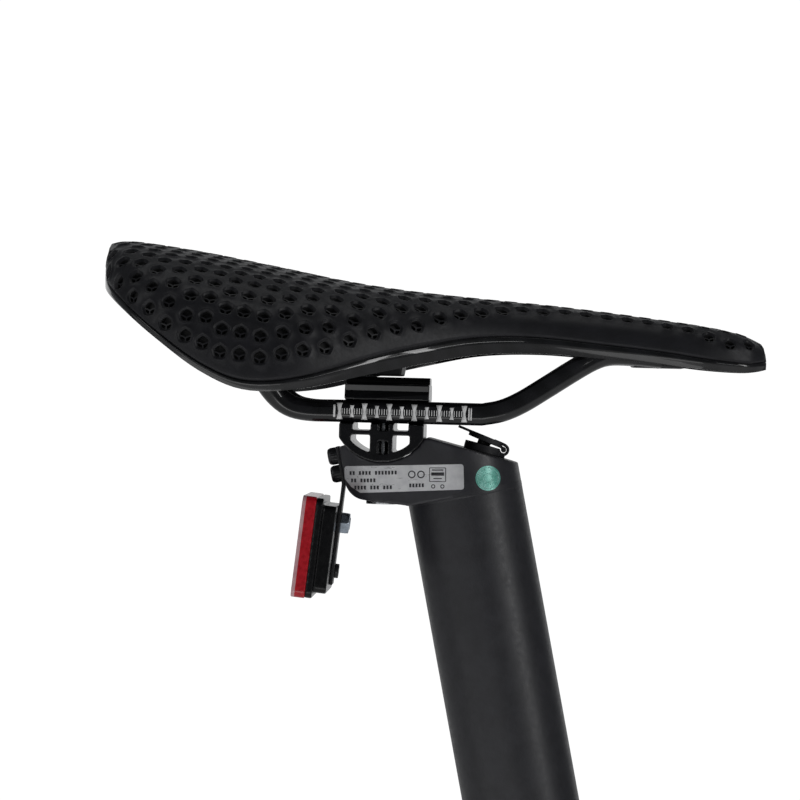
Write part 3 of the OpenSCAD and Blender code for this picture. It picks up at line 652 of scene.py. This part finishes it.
def pad_chart_mesh():
    """Chart points with heights, and triangles, of the padding's outside."""
    points, heights, edges = [], [], []

    def loop(ring, height):
        first = len(points)
        points.extend(map(tuple, ring))
        heights.extend([height] * len(ring))
        edges.extend((first + k, first + (k + 1) % len(ring)) for k in range(len(ring)))

    # the edge, and the lines just inside it
    ends = 9
    stations = np.linspace(0, chart.length, 150)

    def border(inset):
        a = np.clip(stations, inset, chart.length - inset)
        half = chart.half_at(a) - inset
        tail = [(inset, b) for b in np.linspace(half[0], -half[0], ends)[1:-1]]
        nose = [(chart.length - inset, b) for b in np.linspace(-half[-1], half[-1], ends)[1:-1]]
        near = [(x, -y) for x, y in zip(a, half)]
        far = [(x, y) for x, y in zip(a, half)][::-1]
        keep = 0 if inset == 0 else int(math.ceil(inset / (stations[1] - stations[0])))
        if keep:
            near, far = near[keep:-keep], far[keep:-keep]
        return tail + near + nose + far

    for inset, height in EDGE_LINES:
        loop(border(inset), height)
    rim_count = len(border(0))

    sites = dimple_sites()
    sizes = site_sizes(sites)
    along, across = chart.tangents(sites[:, 0], sites[:, 1])
    outline = dimple_outline()
    for (a, b), r, da, db in zip(sites, sizes, along, across):
        # up on the outside, towards the crown, and its partner along the saddle
        metric = np.array([[da @ da, da @ db], [da @ db, db @ db]])
        up = np.array([0.0, -1.0 if b > 0 else 1.0])
        up /= math.sqrt(up @ metric @ up)
        side = np.array([1.0, 0.0])
        side -= (side @ metric @ up) * up
        side /= math.sqrt(side @ metric @ side)

        def flat(shape, scale):
            return [(a + r * scale * (x * side[0] + y * up[0]),
                     b + r * scale * (x * side[1] + y * up[1])) for x, y in shape]

        for scale, height in LIP:
            loop(flat(outline, scale), height)
        for pit in PITS:
            middle = np.mean(pit, axis=0)
            loop(flat(pit, 1.0), LIP[-1][1] - 0.06)
            loop(flat(middle + (np.array(pit) - middle) * 0.88, 1.0), -PIT_DEPTH * r / 3)

    # plain points between the dimples
    fill = []
    for i, a in enumerate(np.arange(2.4, chart.length - 2.2, FILL_STEP * 0.866)):
        limit = chart.half_at(a) - 2.2
        shift = (i % 2) * FILL_STEP / 2
        for b in np.arange(-limit + shift * 0.5, limit, FILL_STEP):
            fill.append((a, b))
    fill = np.array(fill)
    fill_3d = chart.find(chart.top, fill[:, 0], fill[:, 1])
    site_3d = chart.find(chart.top, sites[:, 0], sites[:, 1])
    clear = np.ones(len(fill), bool)
    for k in range(0, len(fill), 2000):
        gaps = np.sqrt(((fill_3d[k:k + 2000, None, :] - site_3d[None, :, :]) ** 2).sum(-1))
        clear[k:k + 2000] = (gaps > (sizes * LIP[0][0] + 0.9)[None, :]).all(1)
    points.extend(map(tuple, fill[clear]))
    heights.extend([0.0] * int(clear.sum()))

    made = delaunay_2d_cdt([Vector(p) for p in points], edges, [], 1, 1e-7)
    flat_points, triangles, origin = made[0], made[2], made[3]
    height = [heights[o[0]] if o else 0.0 for o in origin]
    place = np.array([tuple(p) for p in flat_points])
    first = {o[0]: i for i, o in enumerate(origin) if o}
    return place, np.array(height), [tuple(t) for t in triangles], [first[k] for k in range(rim_count)]


def build_pad():
    """The padding: its dimpled outside and its plain underside, joined along the edge."""
    place, height, triangles, rim = pad_chart_mesh()
    a, b = place[:, 0], place[:, 1]
    top = chart.find(chart.top, a, b) + chart.normal(a, b) * height[:, None]
    # the underside: the same edge, and a coarse net inside it
    coarse = [(x, y) for x in np.arange(5, chart.length - 4, UNDER_STEP)
              for y in np.arange(-108, 109, UNDER_STEP) if abs(y) < chart.half_at(x) - 4]
    edge_points = [tuple(place[k]) for k in rim]
    ring = [(k, (k + 1) % len(rim)) for k in range(len(rim))]
    made = delaunay_2d_cdt([Vector(p) for p in edge_points + coarse], ring, [], 1, 1e-7)
    low_place = np.array([tuple(p) for p in made[0]])
    low = chart.find(chart.under, low_place[:, 0], low_place[:, 1])
    low_first = {o[0]: i for i, o in enumerate(made[3]) if o}
    count = len(top)
    faces = list(triangles)
    faces += [(count + t[2], count + t[1], count + t[0]) for t in made[2]]
    for k in range(len(rim)):
        n = (k + 1) % len(rim)
        faces.append((rim[n], rim[k], count + low_first[k], count + low_first[n]))
    pad = piece("padding", np.concatenate([top, low]), faces, ON_CLAMP, "saddle", "cover",
                ("saddle_pad",), flat=70)
    pad.data.materials.append(MAT["pit"])
    # painted shade: the pit material darkens the dimples where shade falls; on the crown a dimple's whole
    # floor gets it, and on the flanks only its pits do
    crown = np.abs(b) / chart.half_at(a) < 0.3
    deep = np.append(height < np.where(crown, LIP[-1][1] + 0.05, PIT_FLOOR), np.zeros(len(low), bool))
    for face in pad.data.polygons:
        face.material_index = int(any(deep[v] for v in face.vertices))
    return pad


build_pad()

# -------- shell

# How far the rim's face stands out at its middle.
RIM_BEAD = 1.0
# Share of the length at the nose and the tail where a wall closes the shell down to its edge.
END_WALL = 0.013


def build_shell():
    """The glossy shell, with a rounded rim that shows below the padding."""
    rounding = [(0.0, 0.75), (0.004, 0.35), (0.012, 0.0)]
    middle = [(u, 0.0) for u in np.linspace(0.012, 0.988, 90)[1:-1]]
    stations = rounding + middle + [(1 - u, inset) for u, inset in rounding[::-1]]
    across = 24
    rim_steps = 8
    verts, n = [], None
    for u, inset in stations:
        rim = float(rim_v(np.array(u)))
        row = []

        def add(v, side, extra, layer):
            row.append(skin_at(np.array(u), np.array(v), side, extra, layer))

        bead = np.linspace(0, 1, rim_steps)
        for s in bead[::-1]:
            add(rim + s * (1 - rim), -1, inset - RIM_BEAD * math.sin(math.pi * s ** 0.8), 1)
        for v in np.linspace(-rim, rim, 2 * across + 1)[1:-1]:
            add(abs(v), math.copysign(1, v), inset + 0.05, 1)
        for s in bead:
            add(rim + s * (1 - rim), 1, inset - RIM_BEAD * math.sin(math.pi * s ** 0.8), 1)
        for v in np.linspace(1, -1, 2 * across + 1):
            add(abs(v), math.copysign(1, v), -inset, 2)
            if min(u, 1 - u) < END_WALL:
                row[-1][[0, 2]] = spline(EDGE, u)[[0, 2]]
        n = len(row)
        verts += row
    faces = [tuple(reversed(f)) for f in tube_faces(len(stations), n)]
    shell = piece("shell", verts, faces, ON_CLAMP, "saddle", "carbon", ("saddle_shell",), flat=50)
    bm = bmesh.new()
    bm.from_mesh(shell.data)
    bmesh.ops.recalc_face_normals(bm, faces=bm.faces)
    bm.to_mesh(shell.data)
    bm.free()
    return shell


build_shell()

# -------- rails and their scale

RAIL_PATH = [(-67, 38, 42), (-61, 34.5, 32), (-55.5, 31, 23.6), (-49.5, 27, 14.5), (-43.5, 23.6, 6.4),
             (-37.5, 22.2, 1.8), (-30, 22, 0.1), (-20, 22, 0), (40, 22, 0), (48, 21.8, 1.7),
             (56, 21, 5.4), (66, 19.4, 11.8), (76, 17.6, 18.4), (84, 15.8, 23.2), (91, 14.4, 25.6),
             (100, 13, 25.8), (112, 12.4, 25)]
RAIL_W = 7
RAIL_H = 9
RAIL_Y = 22
# Half the height of the flat stretch on each side of the rail's section.
RAIL_FLAT = (RAIL_H - RAIL_W) / 2
# A stretch of the path longer than this is straight.
LONG_STEP = 30


def rail_centres():
    """Points along the rail: a smooth curve on its bends, straight between them."""
    path = np.array(RAIL_PATH, float)
    centres = []
    for k in range(len(path) - 1):
        a, b, c, d = path[max(k - 1, 0)], path[k], path[k + 1], path[min(k + 2, len(path) - 1)]
        for f in np.arange(0, 1, 0.25):
            if np.linalg.norm(c - b) > LONG_STEP:
                centres.append(b + (c - b) * f)
                continue
            ta = (c - a) * 0.5 if np.linalg.norm(b - a) < LONG_STEP else (c - b)
            tb = (d - b) * 0.5 if np.linalg.norm(d - c) < LONG_STEP else (c - b)
            bend = 3 * (c - b) - 2 * ta - tb + f * (2 * (b - c) + ta + tb)
            centres.append(b + f * (ta + f * bend))
    centres.append(path[-1])
    return np.array(centres)


def build_rail(name, node, side):
    """One rail, swept along its path with a flat-sided oval section."""
    centres = rail_centres()
    around = 36
    verts = []
    for i, p in enumerate(centres):
        ahead = centres[min(i + 1, len(centres) - 1)] - centres[max(i - 1, 0)]
        ahead /= np.linalg.norm(ahead)
        across = np.array([-ahead[1], ahead[0], 0]) / math.hypot(ahead[0], ahead[1])
        up = np.cross(ahead, across)
        for k in range(around):
            t = 2 * math.pi * (k + 0.5) / around
            lift = math.copysign(RAIL_FLAT, math.sin(t))
            q = p + across * (RAIL_W / 2 * math.cos(t)) + up * (RAIL_W / 2 * math.sin(t) + lift)
            verts.append((q[0], side * q[1], q[2]))
    faces = tube_faces(len(centres), around)
    if side > 0:
        faces = [tuple(reversed(f)) for f in faces]
    return piece(name, verts, faces, ON_CLAMP, "saddle", "carbon", (node,), flat=60)


build_rail("rail_left_bar", "rail_left", 1)
build_rail("rail_right_bar", "rail_right", -1)


def rail_face(z):
    """How far the rail's outer face is from the centre plane at height z."""
    over = max(abs(z) - RAIL_FLAT, 0)
    return RAIL_Y + math.sqrt((RAIL_W / 2) ** 2 - over ** 2)


def printed(shapes, rows, to_face, thick):
    """Thin solids: each shape is (half width at a share of its height, middle, low, high)."""
    verts, faces = [], []
    for width_at, x, low, high in shapes:
        first = len(verts)
        for layer in (0.0, thick):
            for r in range(rows + 1):
                share = r / rows
                z = low + (high - low) * share
                half = width_at(share)
                verts += [to_face(x - half, z, layer), to_face(x + half, z, layer)]
        side = 2 * (rows + 1)
        for r in range(rows):
            a = first + 2 * r
            b = a + side
            faces += [(a, a + 2, a + 3, a + 1), (b, b + 1, b + 3, b + 2),
                      (a, b, b + 2, a + 2), (a + 1, a + 3, b + 3, b + 1)]
        end, top = first + side, first + 2 * rows
        faces += [(first, first + 1, end + 1, end), (top, top + side, top + side + 1, top + 1)]
    return verts, faces


def build_scale(name, side):
    """Marks on the rail's outer face at every millimetre, 5 mm and 10 mm, and bars past both ends."""
    start, length = -17.0, 50
    shapes = []
    for k in range(length + 1):
        x = start + k
        if k % 10 == 0:
            shapes.append((lambda s: 0.50 + 0.72 * abs(2 * s - 1) ** 1.4, x, -3.3, 3.3))
        elif k % 5 == 0:
            shapes.append((lambda s: 0.42 + 0.45 * abs(2 * s - 1) ** 1.4, x, -2.4, 2.4))
        else:
            shapes.append((lambda s: 0.15, x, -1.15, 1.15))
    for x, half in ((start - 2.1, 0.42), (start + length + 1.9, 0.26), (start + length + 2.8, 0.26)):
        shapes.append((lambda s, w=half: w, x, -2.5, 2.5))

    def to_face(x, z, layer):
        return (x, side * (rail_face(z) + 0.01 + layer), z)

    verts, faces = printed(shapes, 8, to_face, 0.05)
    if side < 0:
        faces = [tuple(reversed(f)) for f in faces]
    return piece(name, verts, faces, ON_CLAMP, "saddle", "white", finish="label_film")


build_scale("rail_left_scale", 1)
build_scale("rail_right_scale", -1)

# -------- castings and mouldings from the CAD shapes


def softened(name, node, mat, voxel, passes):
    """The CAD shape with its edges rounded, as a casting or a moulding has them."""
    mesh = nodes_by_name[node].data.copy()
    mesh.name = name
    bm = bmesh.new()
    bm.from_mesh(mesh)
    bmesh.ops.remove_doubles(bm, verts=bm.verts, dist=0.01 * MM)
    bm.to_mesh(mesh)
    bm.free()
    obj = linked(name, mesh)
    modifier(obj, "REMESH", mode="VOXEL", voxel_size=voxel * MM, adaptivity=0.0, use_smooth_shade=True)
    modifier(obj, "SMOOTH", factor=0.5, iterations=passes)
    done = bpy.data.meshes.new_from_object(obj.evaluated_get(bpy.context.evaluated_depsgraph_get()))
    done.name = name
    bpy.data.objects.remove(obj)
    return dress(linked(name, done), nodes_by_name[node]["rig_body"], mat, (node,))


# Piece, CAD node, material, voxel size and smoothing passes.
ROUNDED = [
    ("head_body", "head_casting", "cast", 0.5, 3),
    ("cradle_body", "lower_cradle", "clamp", 0.36, 3),
    ("clamp_top_body", "upper_clamp", "clamp", 0.36, 2),
    ("shell_mouldings", "shell_bosses", "strip", 0.45, 4),
    ("cap_lid", "port_cap_lid", "rubber", 0.22, 4),
    ("cap_collar", "port_cap_base", "rubber", 0.22, 3),
    ("bracket_button_low", "bracket_rivet", "screw", 0.2, 5),
    ("stud_body", "reflector_stud", "zinc", 0.2, 3),
    ("housing_body", "reflector_housing", "plastic", 0.4, 4),
    ("lens_body", "reflector_lens", "lens", 0.4, 5),
    ("bracket_body", "reflector_bracket", "strip", 0.3, 2),
    ("washer_body", "clamp_washer", "steel", 0.3, 3),
    ("bolt_body", "clamp_bolt", "steel", 0.3, 3),
    ("bezel_body", "socket_bezel", "steel", 0.16, 3),
    ("end_cap_body", "end_cap", "plastic", 0.4, 3),
    ("connector_body", "output_connector", "plastic", 0.3, 2),
    ("cap_screw_bodies", "cap_screws", "zinc", 0.2, 3),
]
for row in ROUNDED:
    softened(*row)

# Section of the upper clamp's rib, turned a little downward, and the rib's ends with their insets.
CLAMP_RIB = [(-22.0, 8.6), (-25.9, 8.2), (-26.35, 8.5), (-26.95, 10.6), (-26.75, 10.95), (-22.6, 11.25)]
CLAMP_ENDS = [(-15.0, 0.3), (-14.7, 0.0), (18.4, 0.0), (18.7, 0.3)]


def build_clamp_ribs():
    """A rib on each side of the upper clamp, drawn in a little at its ends."""
    verts, faces = [], []
    middle = np.mean(CLAMP_RIB, axis=0)
    ring = tube_faces(len(CLAMP_ENDS), len(CLAMP_RIB))
    for side in (-1, 1):
        first = len(verts)
        for x, inset in CLAMP_ENDS:
            for point in CLAMP_RIB:
                way = np.array(point) - middle
                y, z = middle + way * (1 - inset / np.linalg.norm(way))
                verts.append((x, -side * y, z))
        faces += [tuple(first + v for v in (f if side > 0 else f[::-1])) for f in ring]
    piece("clamp_top_ribs", verts, faces, ON_CLAMP, "clamp", "clamp", flat=30)


build_clamp_ribs()

# -------- cap strap and seam


def rounded_bar(path, width, thick):
    """A flat bar along a path of (x, z), rounded at its sides and closed at its ends."""
    around = 5
    section = []
    for side in (1, -1):
        for k in range(around):
            t = math.pi * (k / (around - 1) - 0.5)
            reach = width / 2 - thick / 2 + thick / 2 * math.cos(t)
            section.append((side * reach, side * thick / 2 * math.sin(t)))
    verts = []
    for i, p in enumerate(path):
        ahead = path[min(i + 1, len(path) - 1)] - path[max(i - 1, 0)]
        ahead /= np.linalg.norm(ahead)
        for y, out in section:
            verts.append((p[0] - ahead[1] * out, y, p[1] + ahead[0] * out))
    return verts, tube_faces(len(path), len(section))


# The strap leaves the collar at its front and rolls round the hinge onto the lid.
STRAP = [(7.4, 1.2), (8.8, 1.3), (9.8, 2.0), (10.2, 3.2), (9.9, 4.3), (8.9, 5.1), (7.4, 5.45), (5.6, 5.7),
         (3.8, 5.9)]
STRAP_W = 5.4
STRAP_T = 1.2
strap_path = spline(STRAP, np.linspace(0, 1, 41))
strap = piece("cap_strap", *rounded_bar(strap_path, STRAP_W, STRAP_T), ON_PORT, None, "rubber")
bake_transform(strap)

# The coat runs over the seam between the head and the tube.
SEAM_COAT = [(22.8, -15.08), (23.47, -15.08), (23.5, -15.0), (23.54, -14.2), (23.56, -12.6), (23.2, -12.5),
             (22.8, -12.6)]
piece("seam_coat", *lathe(SEAM_COAT, 160), ON_HEAD_AXIS, "post", "powder", flat=60)

# -------- label and sticker

# The lug's round rear end: radius and centre.
LUG_R = 20
LUG_C = -28.4
LUG_TURN = math.asin((TUBE_R - LUG_R) / -LUG_C)


def plan_side(s, out):
    """Half width of the head's plan, grown by out, at s along the head."""
    big, small = TUBE_R + out, LUG_R + out
    s = np.asarray(s, float)
    near_tube = -big * math.sin(LUG_TURN)
    near_lug = LUG_C - small * math.sin(LUG_TURN)
    flat = big * math.cos(LUG_TURN) + (s - near_tube) * math.tan(LUG_TURN)
    tube = np.sqrt(np.maximum(big ** 2 - s ** 2, 0))
    lug = np.sqrt(np.maximum(small ** 2 - (s - LUG_C) ** 2, 0))
    return np.where(s > near_tube, tube, np.where(s < near_lug, lug, flat))


def on_plan(points, out):
    """Points of the head's X and Z, moved out to its near side in the post's own frame."""
    points = np.asarray(points, float)
    s = points[:, 0] * math.cos(lean) + points[:, 1] * math.sin(lean)
    t = -points[:, 0] * math.sin(lean) + points[:, 1] * math.cos(lean)
    return np.stack([s, -plan_side(s, out), t], -1)


def wrapped(outlines, low, high, spacing):
    """Thin solids with these outlines in the head's X and Z, wrapped round its near side."""
    verts, faces = [], []
    for outline in outlines:
        outline = np.array(outline, float)
        n = len(outline)
        ring = [(k, (k + 1) % n) for k in range(n)]
        box_low, box_high = outline.min(axis=0), outline.max(axis=0)
        fill = [(x, z) for x in np.arange(box_low[0] + spacing / 2, box_high[0], spacing)
                for z in np.arange(box_low[1] + spacing / 2, box_high[1], spacing)]
        made = delaunay_2d_cdt([Vector(p) for p in [tuple(q) for q in outline] + fill], ring, [], 1, 1e-7)
        flat = np.array([tuple(p) for p in made[0]])
        first = {o[0]: i for i, o in enumerate(made[3]) if o}
        a = len(verts)
        b = a + len(flat)
        verts += list(map(tuple, on_plan(flat, low))) + list(map(tuple, on_plan(flat, high)))
        faces += [(a + f[2], a + f[1], a + f[0]) for f in made[2]]
        faces += [(b + f[0], b + f[1], b + f[2]) for f in made[2]]
        for k, m in ring:
            faces.append((a + first[k], a + first[m], b + first[m], b + first[k]))
    return verts, faces


def rounded(corners, r):
    """Outline through the corners, each rounded to r, with points every millimetre of its sides."""
    steps = 5
    points = []
    n = len(corners)
    for k in range(n):
        p, q, s = (np.array(corners[(k + d) % n], float) for d in (-1, 0, 1))
        a, b = (p - q) / np.linalg.norm(p - q), (s - q) / np.linalg.norm(s - q)
        half = math.acos(max(-1, min(1, float(a @ b)))) / 2
        reach = r / math.tan(half)
        start, end = q + a * reach, q + b * reach
        for f in np.linspace(0, 1, steps + 1):
            points.append((1 - f) ** 2 * start + 2 * f * (1 - f) * q + f ** 2 * end)
        far = s - b * reach
        count = int(np.linalg.norm(far - end))
        points += [end + (far - end) * f for f in np.linspace(0, 1, count + 2)[1:-1]]
    return [tuple(p) for p in points]


def disc(x, z, r, steps):
    """Outline of a disc."""
    return [(x + r * math.cos(2 * math.pi * k / steps), z + r * math.sin(2 * math.pi * k / steps))
            for k in range(steps)]


def outline_ring(outline, width):
    """An outline's border as a list of four-sided strips."""
    outline = np.array(outline)
    middle = outline.mean(axis=0)
    inner = middle + (outline - middle) * (1 - width / np.linalg.norm(outline - middle, axis=1))[:, None]
    n = len(outline)
    return [[outline[k], outline[(k + 1) % n], inner[(k + 1) % n], inner[k]] for k in range(n)]


# Width and height of one block.
BLOCK = (0.85, 1.5)


def bar(x, z, width, height):
    """Rectangle about a middle, level with the label's slight rise."""
    tip = 0.02 * (x + 22)
    return [(x - width / 2, z + tip - height / 2), (x + width / 2, z + tip - height / 2),
            (x + width / 2, z + tip + height / 2), (x - width / 2, z + tip + height / 2)]


def block_row(start, z, count, gaps, step=1.32):
    """A row of plain blocks, with gaps after some of them."""
    row, x = [], start
    for k in range(count):
        row.append(bar(x, z, *BLOCK))
        x += step * (2 if k in gaps else 1)
    return row


def stuck(name, outlines, low, high, spacing, mat, **settings):
    """A film on the head's near side, from low to high over its surface."""
    piece(name, *wrapped(outlines, low, high, spacing), ON_HEAD_AXIS, "post", mat, **settings)


# The rear end follows the lug's rounded lower corner.
LABEL = [(-46.2, -2.25), (2.2, -1.2), (2.4, -11.4), (-39.6, -12.95), (-43.4, -10.6), (-46.2, -7.4)]
stuck("label_plate", [rounded(LABEL, 1.2)], -0.1, 0.20, 1.0, "label", stands_for=("rating_label",), flat=50)

marks = block_row(-43.6, -4.6, 13, (1, 5))
marks += block_row(-43.0, -7.6, 7, (1,))
marks += block_row(-41.6, -10.5, 10, (3, 6))
for x in (-18.6, -14.9):
    marks += outline_ring(disc(x, -5.4, 1.55, 20), 0.5)
marks += block_row(-19.2, -9.9, 5, (), step=1.25)
marks += outline_ring(rounded([(-11.6, -8.4), (-4.8, -8.4), (-4.8, -2.6), (-11.6, -2.6)], 0.5), 0.34)
marks += [bar(-8.2, -3.9, 4.6, 0.45), bar(-8.2, -5.5, 5.2, 1.3), bar(-8.2, -7.3, 3.4, 0.4)]
for x in (-10.0, -6.3):
    marks += outline_ring(disc(x, -10.2, 0.85, 14), 0.35)
stuck("label_marks", marks, 0.16, 0.225, 3.0, "print", finish="black_plastic")

STICKER = (12.0, -6.9)
STICKER_R = 5.0
stuck("sticker_disc", [disc(*STICKER, STICKER_R, 64)], -0.1, 0.16, 0.8, "green",
      stands_for=("inspection_sticker",), flat=50)
# Two rings with eight strokes between them.
sticker_lines = outline_ring(disc(*STICKER, 4.3, 48), 0.22) + outline_ring(disc(*STICKER, 1.9, 32), 0.2)
for k in range(8):
    turn = 2 * math.pi * (k + 0.5) / 8
    way = np.array([math.cos(turn), math.sin(turn)])
    across = np.array([-way[1], way[0]]) * 0.1
    low, high = np.array(STICKER) + way * 2.0, np.array(STICKER) + way * 4.1
    sticker_lines.append([low - across, high - across, high + across, low + across])
stuck("sticker_lines", sticker_lines, 0.12, 0.19, 3.0, "pale", finish="green_film")

# -------- reflector and its fastenings

# Depth behind the lens's front over which its sides are painted a paler pink, a painted highlight for the
# reflection along its top edge.
LENS_HIGHLIGHT_DEPTH = 1.5


def face_lens():
    """Cuts the lens a little behind its front, and gives its front and its sides there their materials; the
    sides get a painted highlight.
    """
    lens = bpy.data.objects["lens_body"]
    lens.data.materials.append(MAT["lens_highlight"])
    lens.data.materials.append(MAT["prisms"])
    to_lens = ON_REFLECTOR.inverted() @ lens.matrix_world
    lens_front = min((to_lens @ v.co).x for v in lens.data.vertices)
    bm = bmesh.new()
    bm.from_mesh(lens.data)
    cut = to_lens.inverted() @ Vector((lens_front + LENS_HIGHLIGHT_DEPTH * MM, 0, 0))
    bmesh.ops.bisect_plane(bm, geom=bm.verts[:] + bm.edges[:] + bm.faces[:], plane_co=cut,
                           plane_no=to_lens.inverted().to_3x3() @ Vector((1, 0, 0)))
    bm.to_mesh(lens.data)
    bm.free()
    # the sides near the front get the pale pink painted highlight, and the front gets the prisms
    for face in lens.data.polygons:
        if (to_lens @ face.center).x - lens_front < LENS_HIGHLIGHT_DEPTH * MM:
            forward = abs((to_lens.to_3x3() @ face.normal).x)
            face.material_index = 2 if forward > 0.97 else 1


face_lens()

# Screws of the reflector's strip: profile, their places along the lug, and where their heads seat.
SCREW = [(0, -5.4), (1.8, -5.4), (1.9, -5.2), (1.9, 0), (3.3, 0), (3.42, 0.15, "knurl"), (3.42, 2.5, "knurl"),
         (3.4, 2.8), (3.2, 3.4), (2.75, 3.8), (2.2, 3.98), (1.95, 4.0), (1.73, 3.85, "hex"),
         (1.73, 1.9, "hex"), (0, 1.6)]
SCREW_PLACES = (3.4, 10.7)
SCREW_SEAT = Vector((-48.3, 0, 0))
verts, faces = [], []
for place in SCREW_PLACES:
    one, its_faces = lathe(SCREW, 96)
    faces += [tuple(len(verts) + v for v in f) for f in its_faces]
    verts += [(x + place, y, z) for x, y, z in one]
piece("bracket_screw_pair", verts, faces,
      ON_HEAD_AXIS @ Matrix.Translation(SCREW_SEAT * MM) @ Matrix.Rotation(-math.pi / 2, 4, "Y"),
      "post", "screw", ("bracket_screws",), flat=35)

# The reflector's nut.
NUT = [(2.55, 0), (4.55, 0, "hex"), (4.75, 0.2, "hex"), (4.75, 2.5, "hex"), (4.1, 3.45), (3.5, 3.6),
       (2.8, 3.6), (2.55, 3.4)]
NUT_SEAT = Vector((0.7, 0, -16.5))
piece("nut_body", *lathe(NUT, 96),
      ON_REFLECTOR @ Matrix.Translation(NUT_SEAT * MM) @ Matrix.Rotation(math.pi / 2, 4, "Y"),
      "post", "zinc", ("reflector_nut",), flat=35)

# -------- materials of the CAD nodes that stay

KEPT = {
    "post_tube": "powder", "clamp_nut": "steel", "charge_socket": "plastic", "socket_contacts": "brass",
    "battery_cells": "wrap", "cell_holders": "holder", "nickel_strips": "nickel",
    "insulation_sleeve": "sleeve", "bms_board": "board", "bms_parts": "plastic",
    "charge_lead": "lead", "output_lead": "lead", "cap_seal": "rubber", "connector_contacts": "brass",
}
for node, mat in KEPT.items():
    slots = nodes_by_name[node].material_slots
    if not slots:
        nodes_by_name[node].data.materials.append(MAT[mat])
    for kept_slot in slots:
        kept_slot.material = MAT[mat]

# -------- floor, in metres

FLOOR_R = 2.9
FLOOR_GAP = 0.0002
bm = bmesh.new()
bmesh.ops.create_circle(bm, cap_ends=True, radius=FLOOR_R, segments=128)
floor_mesh = bpy.data.meshes.new("floor")
bm.to_mesh(floor_mesh)
bm.free()
floor = linked("floor", floor_mesh)
floor.location = (0, 0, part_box("post_tube")[0].z - FLOOR_GAP)
floor.data.materials.append(floor_material())
